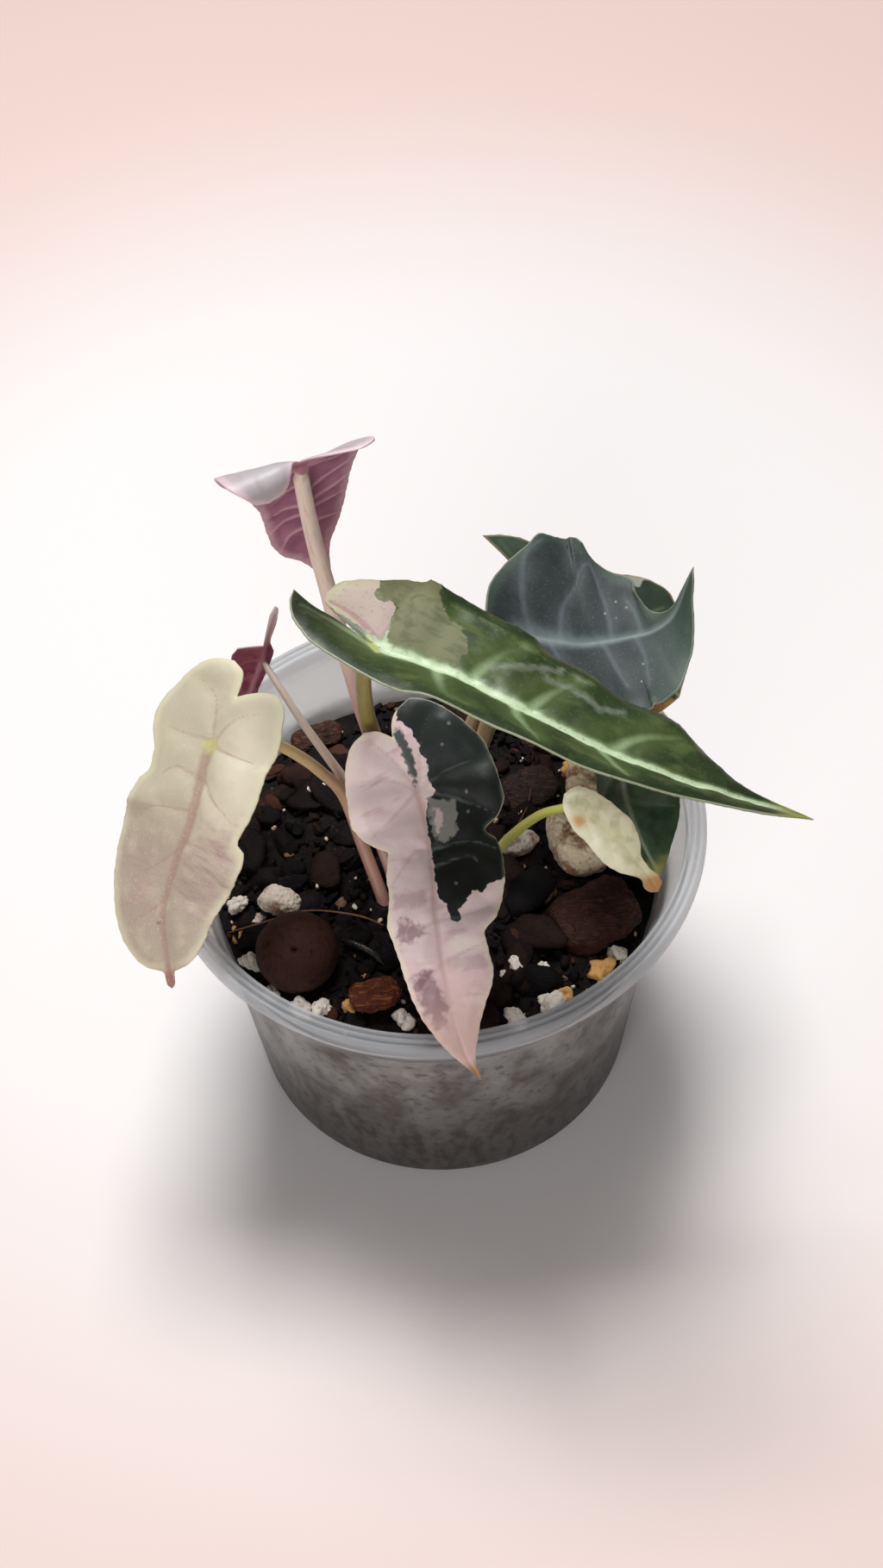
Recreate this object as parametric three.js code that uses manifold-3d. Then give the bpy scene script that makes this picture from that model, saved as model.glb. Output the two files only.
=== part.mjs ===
import * as THREE from 'three';
import { mergeVertices } from 'three/addons/utils/BufferGeometryUtils.js';
import Module from 'manifold-3d';

// A young bambino alocasia with nine leaves in a frosted nursery cup.
// Millimetres, +Z up. The origin is the centre of the cup's base, and the plant's front is at -Y.

// The cup.
const POT_HEIGHT = 79;
const RIM_RADIUS = 58.5;
const LIP_WIDTH = 4.5;
const LIP_DEPTH = 4.4;
const SHOULDER_HEIGHT = 60;
const SHOULDER_RADIUS = 49.6;
const BASE_RADIUS = 44.3;
const WALL = 1.2;
const ROUND_SIDES = 48;

// The soil and what lies in it.
const GAP = 0.35;
const SOIL_CROWN = 64.4;
const SOIL_EDGE = 60.2;
const SOIL_RINGS = 7;
const STALK_DEPTH = 50;

// The leaves.
const BLADE = 0.7;
const STALK_SIDES = 8;
const COLUMNS = 3;

const wasm = await Module();
wasm.setup();

// Joins and cuts.

function solidOf(geometry) {
  const bare = geometry.clone();
  bare.deleteAttribute('normal');
  bare.deleteAttribute('uv');
  const merged = mergeVertices(bare, 1e-4);
  return new wasm.Manifold(new wasm.Mesh({
    numProp: 3,
    vertProperties: Float32Array.from(merged.attributes.position.array),
    triVerts: Uint32Array.from(merged.index.array),
  }));
}

function geometryOf(solid) {
  const mesh = solid.getMesh();
  const geometry = new THREE.BufferGeometry();
  geometry.setAttribute('position', new THREE.BufferAttribute(mesh.vertProperties, 3));
  geometry.setIndex(new THREE.BufferAttribute(mesh.triVerts, 1));
  geometry.computeVertexNormals();
  return geometry;
}

// The largest body of a cut solid, without the crumbs that the cut leaves loose.
function largestBody(solid) {
  const bodies = solid.decompose();
  return bodies.reduce((best, body) => (body.volume() > best.volume() ? body : best));
}

function geometryFrom(positions, triangles) {
  const geometry = new THREE.BufferGeometry();
  geometry.setAttribute('position', new THREE.Float32BufferAttribute(positions.flat(), 3));
  geometry.setIndex(triangles.flat());
  return geometry;
}

// Small sums.

const lerp = THREE.MathUtils.lerp;
const radians = THREE.MathUtils.degToRad;

// A repeatable draw between 0 and 1 for each whole number.
function draw(n) {
  const value = Math.sin(n * 12.9898 + 4.137) * 43758.5453;
  return value - Math.floor(value);
}

// The straight-line reading of ys at x, with xs rising.
function reading(xs, ys, x) {
  if (x <= xs[0]) return ys[0];
  const next = xs.findIndex((value) => value >= x);
  if (next < 0) return ys[ys.length - 1];
  const part = (x - xs[next - 1]) / (xs[next] - xs[next - 1]);
  return lerp(ys[next - 1], ys[next], part);
}

// A smooth line w(s) through points with rising s, which never passes beyond its points.
function smoothLine(points) {
  const count = points.length;
  const steps = [];
  const slopes = [];
  for (let i = 0; i + 1 < count; i += 1) {
    steps.push(points[i + 1][0] - points[i][0]);
    slopes.push((points[i + 1][1] - points[i][1]) / steps[i]);
  }
  const tangents = points.map((_, i) => {
    if (i === 0) return slopes[0];
    if (i === count - 1) return slopes[count - 2];
    if (slopes[i - 1] * slopes[i] <= 0) return 0;
    const before = 2 * steps[i] + steps[i - 1];
    const after = steps[i] + 2 * steps[i - 1];
    return (before + after) / (before / slopes[i - 1] + after / slopes[i]);
  });
  return (s) => {
    if (s <= points[0][0]) return points[0][1];
    if (s >= points[count - 1][0]) return points[count - 1][1];
    const i = points.findIndex((point) => point[0] > s) - 1;
    const t = (s - points[i][0]) / steps[i];
    const rise = tangents[i] * steps[i];
    const fall = tangents[i + 1] * steps[i];
    const cubic = 2 * points[i][1] - 2 * points[i + 1][1] + rise + fall;
    const square = 3 * points[i + 1][1] - 3 * points[i][1] - 2 * rise - fall;
    return ((cubic * t + square) * t + rise) * t + points[i][1];
  };
}

// The cup: a thin tapered wall, a flared shoulder and a solid lip with two grooves on top.

const flareTop = POT_HEIGHT - LIP_DEPTH;
const lipInner = RIM_RADIUS - LIP_WIDTH;

const potInside = [
  [lipInner, POT_HEIGHT - 1.1],
  [lipInner + 0.2, flareTop + 0.4],
  [lipInner + 1.3, flareTop - 2.6],
  [SHOULDER_RADIUS - 0.7, SHOULDER_HEIGHT + 0.3],
  [lerp(BASE_RADIUS, SHOULDER_RADIUS, 0.64) - WALL, 40],
  [BASE_RADIUS - WALL, WALL + 1.8],
  [BASE_RADIUS - WALL - 1.5, WALL],
  [0, WALL],
];

const potOutside = [
  [0, 0],
  [BASE_RADIUS - 1.9, 0],
  [BASE_RADIUS, 2.4],
  [lerp(BASE_RADIUS, SHOULDER_RADIUS, 0.64), 40],
  [SHOULDER_RADIUS, SHOULDER_HEIGHT],
  [RIM_RADIUS - 2.1, flareTop - 3],
  [RIM_RADIUS - 1.4, flareTop],
];

const lipRidges = [
  [RIM_RADIUS, flareTop + 1],
  [RIM_RADIUS, POT_HEIGHT - 1.1],
  [RIM_RADIUS - 0.8, POT_HEIGHT - 0.1],
  [RIM_RADIUS - 1.3, POT_HEIGHT - 0.1],
  [RIM_RADIUS - 1.7, POT_HEIGHT - 0.8],
  [RIM_RADIUS - 2.2, POT_HEIGHT],
  [RIM_RADIUS - 2.7, POT_HEIGHT],
  [RIM_RADIUS - 3.1, POT_HEIGHT - 0.8],
  [RIM_RADIUS - 3.6, POT_HEIGHT - 0.1],
  [RIM_RADIUS - 4.2, POT_HEIGHT - 0.3],
];

function potGeometry() {
  const profile = [...potOutside, ...lipRidges, ...potInside].map(([r, z]) => new THREE.Vector2(r, z));
  return new THREE.LatheGeometry(profile, ROUND_SIDES).rotateX(Math.PI / 2);
}

// The inner radius of the cup's wall at a height, below the flare.
function potInnerRadius(z) {
  const wall = potInside.slice(3, 6).reverse();
  return reading(wall.map((point) => point[1]), wall.map((point) => point[0]), z);
}

// A lump or chip: a ball drawn out to three half sizes, made blocky, dented and turned.

function lumpGeometry({ at, half, turn = [0, 0, 0], blocky = 2, rough = 0.1, seed = 1, detail = 2 }, grow = 0) {
  const geometry = new THREE.IcosahedronGeometry(1, detail);
  const place = new THREE.Matrix4().makeRotationFromEuler(new THREE.Euler(...turn.map(radians)));
  place.setPosition(...at);
  const position = geometry.attributes.position;
  const p = new THREE.Vector3();
  for (let i = 0; i < position.count; i += 1) {
    p.fromBufferAttribute(position, i);
    const spread = (Math.abs(p.x) ** blocky + Math.abs(p.y) ** blocky + Math.abs(p.z) ** blocky) ** (-1 / blocky);
    const wave = Math.sin(3.1 * p.x + seed) * Math.sin(2.7 * p.y + 2 * seed) + Math.sin(3.7 * p.z - p.x + 3 * seed);
    p.multiplyScalar(spread * (1 + rough * 0.6 * wave));
    p.set(p.x * (half[0] + grow), p.y * (half[1] + grow), p.z * (half[2] + grow));
    p.applyMatrix4(place);
    position.setXYZ(i, p.x, p.y, p.z);
  }
  return geometry;
}

const lumps = [
  { name: 'clay_ball', at: [-29.8, -25.2, 66], half: [8.7, 8.7, 8.5], rough: 0.02, seed: 2, detail: 3, color: 0x4a2f27 },
  { name: 'pumice_front', at: [-33.6, -12.4, 67], half: [4.6, 3.1, 3], turn: [0, 0, -24], blocky: 2.6, seed: 5,
    color: 0xe9e2d8 },
  { name: 'pumice_large', at: [31.5, 1.2, 66], half: [6, 8.2, 5.2], turn: [8, 0, 12], blocky: 2.8, seed: 3,
    color: 0xd8c9ac },
  { name: 'pumice_small', at: [35, 17, 64], half: [4.9, 6.2, 4.2], turn: [0, 12, -14], blocky: 2.6, seed: 8,
    color: 0xd2c3a6 },
  { name: 'pumice_middle', at: [18.6, 2.4, 63.6], half: [4.4, 2.8, 2.2], turn: [0, 8, 28], blocky: 2.6, seed: 9,
    color: 0xd9cfc0 },
  { name: 'coir_chip', at: [33, -18.3, 64.6], half: [9.6, 7.4, 3.6], turn: [6, -10, 24], blocky: 3, seed: 1,
    color: 0x5a3327 },
  { name: 'bark_front', at: [-13.6, -35.6, 64.2], half: [5.2, 3.2, 2.4], turn: [14, 8, 12], blocky: 3.2, seed: 4,
    color: 0x9a5a34 },
  { name: 'bark_middle', at: [22, 17.6, 62.4], half: [6.8, 5.4, 2.6], turn: [8, -8, 34], blocky: 3, seed: 10,
    color: 0x5b3a35 },
  { name: 'bark_back_left', at: [-25.6, 36.4, 61.4], half: [6.2, 3.2, 2.6], turn: [8, 10, 20], blocky: 3.2, seed: 6,
    color: 0x6b4330 },
  { name: 'bark_back_right', at: [26.4, 32.6, 61.6], half: [5.6, 3.4, 2.6], turn: [-6, 8, -34], blocky: 3.2, seed: 7,
    color: 0x6b4330 },
];

// The soil: a crowned, lumpy surface with granules fused in, pockets for the lumps and holes for the stalks.

function soilHeight(x, y) {
  const part = Math.min(1, Math.hypot(x, y) / potInnerRadius(SOIL_EDGE));
  const clods = 0.7 * Math.sin(0.31 * x + 1.3) * Math.sin(0.27 * y + 0.4) + 0.5 * Math.sin(0.53 * x - 0.41 * y);
  return lerp(SOIL_CROWN, SOIL_EDGE, part * part) + clods * (1 - 0.5 * part);
}

function soilGeometry() {
  const positions = [[0, 0, soilHeight(0, 0)]];
  const triangles = [];
  const floor = WALL + GAP;
  const sideLevels = [40, WALL + 1.8 + GAP, floor];
  const sideRadii = [potInnerRadius(40) - GAP, BASE_RADIUS - WALL - GAP, BASE_RADIUS - WALL - 1.5 - GAP];
  const edgeRadius = potInnerRadius(SOIL_EDGE - 1.5) - GAP;
  const ringAt = (radius, height) => {
    for (let k = 0; k < ROUND_SIDES; k += 1) {
      const angle = (2 * Math.PI * k) / ROUND_SIDES;
      const x = radius * Math.cos(angle);
      const y = radius * Math.sin(angle);
      positions.push([x, y, height ?? soilHeight(x, y)]);
    }
  };
  for (let ring = 1; ring <= SOIL_RINGS; ring += 1) {
    ringAt((edgeRadius * ring) / SOIL_RINGS);
  }
  sideLevels.forEach((height, i) => ringAt(sideRadii[i], height));
  const ringCount = SOIL_RINGS + sideLevels.length;
  positions.push([0, 0, floor]);
  for (let k = 0; k < ROUND_SIDES; k += 1) {
    const next = (k + 1) % ROUND_SIDES;
    triangles.push([0, 1 + k, 1 + next]);
    for (let ring = 1; ring < ringCount; ring += 1) {
      const inner = 1 + (ring - 1) * ROUND_SIDES;
      const outer = inner + ROUND_SIDES;
      triangles.push([inner + k, outer + k, outer + next]);
      triangles.push([inner + k, outer + next, inner + next]);
    }
    const last = 1 + (ringCount - 1) * ROUND_SIDES;
    triangles.push([positions.length - 1, last + next, last + k]);
  }
  return geometryFrom(positions, triangles);
}

// Granules of perlite lie in arcs, thickest along the wall: radius and angles of each arc, and how many.
const granuleArcs = [
  { radius: 43, from: 192, to: 258, count: 9, size: 1.7 },
  { radius: 44, from: 286, to: 330, count: 5, size: 1.5 },
  { radius: 35, from: 290, to: 306, count: 3, size: 1.6 },
  { radius: 24, from: 333, to: 343, count: 2, size: 1.5 },
  { radius: 40, from: 28, to: 150, count: 8, size: 1.4 },
  { radius: 25, from: 20, to: 170, count: 6, size: 1.2 },
  { radius: 26, from: 200, to: 300, count: 6, size: 1.2 },
  { radius: 45, from: 345, to: 375, count: 4, size: 1.3 },
];

function granules() {
  const placed = [];
  let n = 0;
  for (const arc of granuleArcs) {
    for (let i = 0; i < arc.count; i += 1) {
      n += 3;
      const angle = radians(lerp(arc.from, arc.to, (i + 0.2 + 0.6 * draw(n)) / arc.count));
      const radius = arc.radius + 3.4 * (draw(n + 1) - 0.5);
      const size = arc.size * (0.75 + 0.5 * draw(n + 2));
      placed.push({ x: radius * Math.cos(angle), y: radius * Math.sin(angle), size, seed: n });
    }
  }
  return placed;
}

function clearOfNeighbours({ x, y, size }) {
  const fromLumps = lumps.every(({ at, half }) => Math.hypot(x - at[0], y - at[1]) > Math.max(...half) + size + 0.4);
  const fromStalks = leaves.every(({ stalk }) => {
    const [stalkX, stalkY] = stalk[stalk.length - 2];
    return Math.hypot(x - stalkX, y - stalkY) > 4 + size;
  });
  return fromLumps && fromStalks;
}

function granuleGeometry({ x, y, size, seed }) {
  return lumpGeometry({
    at: [x, y, soilHeight(x, y) - 0.1 * size],
    half: [size, size * 0.8, size * 0.9],
    turn: [0, 0, 360 * draw(seed + 500)],
    rough: 0.16,
    seed,
    detail: 0,
  });
}

function soilSolid() {
  let soil = solidOf(soilGeometry());
  for (const granule of granules().filter(clearOfNeighbours)) {
    soil = soil.add(solidOf(granuleGeometry(granule)));
  }
  for (const lump of lumps) {
    soil = soil.subtract(solidOf(lumpGeometry(lump, GAP)));
  }
  for (const leaf of leaves) {
    soil = soil.subtract(solidOf(stalkGeometry(leaf, GAP)));
  }
  return largestBody(soil);
}

// A stalk: a tapered round rod along its path, from the blade's joint down into the soil.

function pathOf(points) {
  return new THREE.CatmullRomCurve3(points.map((p) => new THREE.Vector3(...p)), false, 'catmullrom', 0.5);
}

function stalkGeometry({ stalk, thin, thick }, grow = 0) {
  const path = pathOf(stalk);
  const rings = Math.max(6, Math.round(path.getLength() / 8));
  const frames = path.computeFrenetFrames(rings, false);
  const positions = [];
  const triangles = [];
  for (let i = 0; i <= rings; i += 1) {
    const centre = path.getPointAt(i / rings);
    const radius = lerp(thin, thick, i / rings) + grow;
    for (let k = 0; k < STALK_SIDES; k += 1) {
      const angle = (2 * Math.PI * k) / STALK_SIDES;
      const p = centre.clone();
      p.addScaledVector(frames.normals[i], radius * Math.cos(angle));
      p.addScaledVector(frames.binormals[i], radius * Math.sin(angle));
      positions.push(p.toArray());
    }
  }
  for (let i = 0; i < rings; i += 1) {
    for (let k = 0; k < STALK_SIDES; k += 1) {
      const next = (k + 1) % STALK_SIDES;
      const here = i * STALK_SIDES;
      const there = here + STALK_SIDES;
      triangles.push([here + k, here + next, there + next]);
      triangles.push([here + k, there + next, there + k]);
    }
  }
  const ends = [
    { ring: 0, t: 0, out: -0.4 * (thin + grow) },
    { ring: rings * STALK_SIDES, t: 1, out: 0.3 * thick + 4 * grow },
  ];
  for (const end of ends) {
    const apex = path.getPointAt(end.t).addScaledVector(path.getTangentAt(end.t), end.out);
    positions.push(apex.toArray());
    const tip = positions.length - 1;
    for (let k = 0; k < STALK_SIDES; k += 1) {
      const next = (k + 1) % STALK_SIDES;
      const [a, b] = end.t === 0 ? [next, k] : [k, next];
      triangles.push([tip, end.ring + a, end.ring + b]);
    }
  }
  return geometryFrom(positions, triangles);
}

// A blade's middle surface: the flat leaf bent along its spine, lifted and curled on each side.
// s runs along the midrib from the joint, and r across it, positive on the right half.

function bladeSurface({ spine, joint = 1, face, lift, curl, wave }) {
  const path = pathOf(spine);
  const last = spine.length - 1;
  const samples = 400;
  const ts = Array.from({ length: samples + 1 }, (_, i) => i / samples);
  const lengths = path.getLengths(samples);
  const jointLength = reading(ts, lengths, joint / last);
  const along = spine.map((_, i) => i / last);
  const every = (value) => (Array.isArray(value[0]) ? value : spine.map(() => value));
  const faces = every(face);
  const lifts = every(lift);
  const curls = every(curl);
  const mixed = (rows, column, t) => reading(along, rows.map((row) => row[column]), t);
  return (s, r) => {
    const length = s + jointLength;
    const t = reading(lengths, ts, length);
    const tangent = path.getTangent(t);
    const beyond = length - THREE.MathUtils.clamp(length, 0, lengths[samples]);
    const centre = path.getPoint(t).addScaledVector(tangent, beyond);
    const facing = new THREE.Vector3(mixed(faces, 0, t), mixed(faces, 1, t), mixed(faces, 2, t));
    const across = tangent.clone().cross(facing).normalize();
    const up = across.clone().cross(tangent);
    const side = r > 0 ? 1 : 0;
    const w = Math.abs(r);
    const start = radians(mixed(lifts, side, t));
    const turn = radians(mixed(curls, side, t));
    const sideways = (Math.sin(start + turn * w) - Math.sin(start)) / turn;
    const ripple = wave.height * Math.sin((2 * Math.PI * s) / wave.length + 2 * side) * (w / 14) ** 2;
    const upward = (Math.cos(start) - Math.cos(start + turn * w)) / turn + ripple;
    return centre.addScaledVector(across, Math.sign(r) * sideways).addScaledVector(up, upward);
  };
}

function surfaceNormal(surface, s, r) {
  const small = 0.05;
  const reach = r === 0 ? 1 : 0;
  const forward = surface(s + small, r).sub(surface(s - small, r));
  const rightward = surface(s, r + small + reach).sub(surface(s, r - small - reach));
  return rightward.cross(forward).normalize();
}

// The rows of a blade's grid past the notch: each bend of the two margins, with none too near or too far.
function bodyStations(leaf) {
  const notch = leaf.left.sinus.at(-1)[0];
  const tip = leaf.left.margin.at(-1)[0];
  const bends = [...leaf.left.margin, ...leaf.right.margin].map((point) => point[0]).sort((a, b) => a - b);
  const stations = [notch];
  for (const bend of [...bends.filter((s) => s > notch && s < tip - 1.2), tip]) {
    const room = bend - stations.at(-1);
    if (room < 1.5) continue;
    const parts = Math.ceil(room / 6);
    const from = stations.at(-1);
    for (let i = 1; i <= parts; i += 1) {
      stations.push(from + (room * i) / parts);
    }
  }
  return stations;
}

// One half of a blade as rows of points [s, r] from the lobe's end to the tip, each row from inside to margin.
function halfRows(half, sign, stations) {
  const margin = smoothLine(half.margin);
  const sinus = smoothLine(half.sinus);
  const [lobeEnd, lobeWidth] = half.sinus[0];
  const notch = stations[0];
  const lobeRows = lobeEnd < notch ? Math.max(3, Math.round((notch - lobeEnd) / 2.6)) : 0;
  const rows = [[[lobeEnd, sign * lobeWidth]]];
  const rowAt = (s, inner) => {
    const outer = margin(s);
    const row = [];
    for (let k = 0; k <= COLUMNS; k += 1) {
      row.push([s, sign * lerp(inner, outer, k / COLUMNS)]);
    }
    rows.push(row);
  };
  for (let i = 1; i <= lobeRows; i += 1) {
    const s = lerp(lobeEnd, notch, 1 - Math.cos((Math.PI / 2) * (i / lobeRows)));
    rowAt(s, i === lobeRows ? 0 : sinus(s));
  }
  stations.slice(1, -1).forEach((s) => rowAt(s, 0));
  rows.push([[stations.at(-1), 0]]);
  return { rows, lobeRows };
}

function bladeGeometry(leaf) {
  const surface = bladeSurface(leaf);
  const stations = bodyStations(leaf);
  const positions = [];
  const triangles = [];
  const sides = [{ half: leaf.left, sign: -1 }, { half: leaf.right, sign: 1 }];
  for (const { half, sign } of sides) {
    const { rows, lobeRows } = halfRows(half, sign, stations);
    const indexed = rows.map((row) => row.map(([s, r]) => {
      const middle = surface(s, r);
      const offset = surfaceNormal(surface, s, r).multiplyScalar(BLADE / 2);
      positions.push(middle.clone().add(offset).toArray(), middle.clone().sub(offset).toArray());
      return positions.length - 2;
    }));
    // Both faces of one triangle: the top one turns the other way from the underside.
    const faceTriangle = (a, b, c) => {
      const [first, second] = sign > 0 ? [b, c] : [c, b];
      triangles.push([a, first, second], [a + 1, second + 1, first + 1]);
    };
    const wall = (a, b) => {
      const [first, second] = sign > 0 ? [a, b] : [b, a];
      triangles.push([first, first + 1, second + 1], [first, second + 1, second]);
    };
    for (let i = 0; i + 1 < indexed.length; i += 1) {
      const here = indexed[i];
      const there = indexed[i + 1];
      for (let k = 0; k < COLUMNS; k += 1) {
        if (here.length > 1) faceTriangle(here[k], here[k + 1], there[Math.min(k + 1, there.length - 1)]);
        if (there.length > 1) faceTriangle(here[Math.min(k, here.length - 1)], there[k + 1], there[k]);
      }
      wall(here.at(-1), there.at(-1));
      if (i < lobeRows) wall(there[0], here[0]);
    }
  }
  return geometryFrom(positions, triangles);
}

// The nine leaves. Every margin and sinus is a list of [s, w] from the lobe's end: along the midrib, and out from it.
// Each stalk runs from the joint down to its end in the soil.

const leaves = [
  {
    name: 'leaf_cream',
    spine: [[-33.5, 6.5, 122], [-43, -5.5, 112], [-47.5, -17.5, 104], [-51.5, -23.5, 97], [-54.5, -31.5, 90],
      [-53.5, -42, 82]],
    face: [-0.35, -0.45, 0.82],
    lift: [4, 4],
    curl: [-0.5, -0.5],
    wave: { height: 0.5, length: 15 },
    left: {
      margin: [[-15.2, 7.5], [-14.5, 9.5], [-12.5, 11.5], [-4, 14], [3, 14], [12.5, 12.5], [14, 12], [18, 14.5],
        [29, 13], [44.5, 7], [46.5, 2.5], [50.3, 0]],
      sinus: [[-15.2, 7.5], [-14.5, 5], [-13, 2.5], [-11, 0]],
    },
    right: {
      margin: [[-17, 4.5], [-16, 7.5], [-12, 11.5], [-7, 13.5], [-2.5, 14.5], [1, 13.5], [3.5, 12], [6.5, 12],
        [9, 14], [19.5, 15.5], [24.5, 14], [35.5, 11], [41.5, 7.5], [47, 1.5], [50.3, 0]],
      sinus: [[-17, 4.5], [-16, 1.7], [-13.5, 0.5], [-11, 0]],
    },
    stalk: [[-43, -5.5, 112], [-36.5, -4.6, 110.8], [-30.3, -3.8, 109], [-26.6, -2.5, 104], [-22.9, -1, 97],
      [-18.6, 1.5, 85], [-15.1, -3.6, 73], [-11.4, -11.2, 63], [-9.6, -14, STALK_DEPTH]],
    thin: 1.1,
    thick: 1.4,
    color: 0xe6dcae,
  },
  {
    name: 'leaf_pink',
    spine: [[-9.5, -5.5, 121], [-2.5, -18.5, 111], [-0.5, -28.5, 105], [0, -41, 99], [1.5, -53.5, 93],
      [4.5, -64.5, 87.5], [7, -68, 84]],
    face: [0, -0.5, 0.87],
    lift: [4, 4],
    curl: [-0.6, -0.6],
    wave: { height: 0.5, length: 13 },
    left: {
      margin: [[-17, 6.5], [-15.5, 9], [-12.5, 11.5], [-8, 14], [-2.5, 16], [4.5, 16], [7.5, 14], [9.5, 11],
        [11.5, 13], [16.5, 14], [26, 12], [29.5, 9], [37, 9.5], [47.5, 4.5], [53.5, 1.5], [58.3, 0]],
      sinus: [[-17, 6.5], [-16, 3.4], [-14.5, 1.5], [-11.5, 0]],
    },
    right: {
      margin: [[-14.7, 4.4], [-14, 7], [-11.5, 10], [-5.5, 13], [3, 14.5], [8, 12.5], [11, 10], [13.5, 9],
        [19, 8.5], [26, 9.5], [30.5, 8.5], [42, 6.5], [51, 3], [54.5, 1], [58.3, 0]],
      sinus: [[-14.7, 4.4], [-14, 2.3], [-12.8, 1], [-11.5, 0]],
    },
    stalk: [[-2.5, -18.5, 111], [-1.9, -16.2, 106], [-1.2, -15, 100], [-0.6, -13.8, 85], [-0.4, -13, 72],
      [-0.6, -12.5, 62], [-0.6, -12.6, STALK_DEPTH]],
    thin: 1.3,
    thick: 1.5,
    color: 0xe7a9a4,
  },
  {
    name: 'leaf_long',
    spine: [[-16, -9, 152], [-7.5, -16, 150], [3.5, -21, 148.5], [16.5, -28, 145.5], [30, -34, 141],
      [44, -38, 136], [57.5, -39.5, 130], [70.5, -39, 123]],
    face: [0.2, -0.05, 0.98],
    lift: [[8, 20], [8, 22], [5, 30], [0, 30], [0, 30], [0, 28], [0, 26], [0, 20]],
    curl: [[-0.01, -0.3], [-0.01, -0.3], [-0.3, -0.3], [-0.8, -0.3], [-0.8, -0.3], [-0.8, -0.3], [-0.8, -0.3],
      [-0.8, -0.3]],
    wave: { height: 0.45, length: 17 },
    left: {
      margin: [[-15.2, 3], [-15, 5.5], [-13, 8.5], [-9.5, 12], [-6, 16], [0.5, 18], [8.5, 17.5], [31, 17.5],
        [40, 15.5], [58, 13.5], [66, 7.5], [72, 3.5], [79.5, 1.5], [88, 0]],
      sinus: [[-15.2, 3], [-14, 1.3], [-10, 0.6], [-1.5, 0]],
    },
    right: {
      margin: [[-20.2, 0.5], [-18.5, 4], [-14, 8.5], [-7, 10.5], [-1.5, 10.5], [9, 13], [23.5, 11.5], [43, 10],
        [63.5, 5.5], [76, 3], [88, 0]],
      sinus: [[-20.2, 0.5], [-15, 1.2], [-10, 0.4], [-1.5, 0]],
    },
    stalk: [[-7.5, -16, 150], [-9.9, -13.7, 144], [-11.2, -11.1, 138], [-11.7, -7.4, 126], [-11, -4.1, 111],
      [-8.3, -3.2, 95], [-5.2, -6.5, 77], [-4.2, -9.5, 63], [-4, -10, STALK_DEPTH]],
    thin: 1.4,
    thick: 1.9,
    color: 0x3c5a3c,
  },
  {
    name: 'leaf_slate',
    spine: [[12, 10.5, 127], [19, 15, 118], [31, 16, 113], [37, 17, 112], [42.5, 18, 112], [47.5, 18.5, 113],
      [52, 20, 117], [55, 22, 128]],
    face: [[0.1, -0.2, 0.98], [0.1, -0.2, 0.98], [0.1, -0.2, 0.98], [0.1, -0.2, 0.98], [0.1, -0.2, 0.98],
      [0.1, -0.2, 0.98], [-0.2, -0.2, 0.95], [-0.5, -0.3, 0.8]],
    lift: [12, 20],
    curl: [-0.3, -0.3],
    wave: { height: 0.35, length: 14 },
    left: {
      margin: [[-9.9, 1.2], [-5.7, 2.7], [-3.5, 7.5], [-1.5, 12.5], [0.2, 16.5], [2, 20.5], [4.5, 23], [12, 24],
        [18.3, 23.5], [20, 20.5], [22.7, 17], [25.5, 14], [30.3, 9.3], [31.1, 5], [33.2, 2.7], [37, 1.2],
        [41, 0.8], [47.7, 0]],
      sinus: [[-9.9, 1.2], [-8, 0.7], [-4.9, 0]],
    },
    right: {
      margin: [[-12, 6], [-9, 11], [-4, 13.5], [6, 15], [12, 17], [16.5, 19.5], [23.4, 21], [28, 20.5], [29.7, 18],
        [32.7, 13], [35.8, 9.7], [39, 6.3], [42.6, 3.4], [45.7, 2], [47.7, 0]],
      sinus: [[-12, 6], [-8, 2.5], [-4.9, 0]],
    },
    stalk: [[19, 15, 118], [17.4, 13, 113], [14.6, 10, 106], [11.6, 6.8, 97], [8.4, 3.4, 86], [4.6, -1.6, 72],
      [2.8, -5.3, 62], [2.4, -6.4, STALK_DEPTH]],
    thin: 1.3,
    thick: 1.6,
    color: 0x2f3b3a,
  },
  {
    name: 'leaf_rear',
    spine: [[15.5, 33.5, 120], [22.5, 31, 113], [32, 29, 107], [42, 26, 101], [49.5, 22, 95.5], [54, 18, 92]],
    face: [0.25, -0.3, 0.92],
    lift: [6, 6],
    curl: [-0.3, -0.3],
    wave: { height: 0.35, length: 12 },
    left: {
      margin: [[-15.6, 2.9], [-11.3, 6.4], [-6.7, 9], [2.2, 11.4], [10.4, 12.3], [16.2, 13.6], [22.5, 16.7],
        [25.3, 16.9], [28.2, 15.5], [31.8, 12.7], [35.7, 7.9], [40.6, 0]],
      sinus: [[-15.6, 2.9], [-10.7, 2.7], [-6.8, 2.4], [-3, 0]],
    },
    right: {
      margin: [[-5.9, 6.4], [-4.4, 9.5], [-0.7, 13.6], [5.6, 17.8], [20.2, 18.9], [33, 15.5], [38, 11], [40, 6],
        [40.6, 0]],
      sinus: [[-5.9, 6.4], [-4.6, 3], [-3, 0]],
    },
    stalk: [[22.5, 31, 113], [17.8, 21.5, 107], [13.8, 16.2, 101], [9.7, 12.9, 94], [5.8, 9.1, 83], [1.6, 4, 71],
      [-0.8, -0.5, 60], [-1.2, -1.8, STALK_DEPTH]],
    thin: 1.3,
    thick: 1.6,
    color: 0x4d5f4b,
  },
  {
    name: 'leaf_low',
    spine: [[34.9, 5.6, 105], [36.6, 3.2, 100], [39, -1, 93], [40.9, -5.9, 86], [43.5, -10.6, 80], [47.2, -16.1, 74]],
    face: [0.3, -0.45, 0.82],
    lift: [[5, 25], [5, 25], [5, 15], [5, 0], [5, -10], [5, -10]],
    curl: [-0.3, -0.3],
    wave: { height: 0.3, length: 12 },
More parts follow.
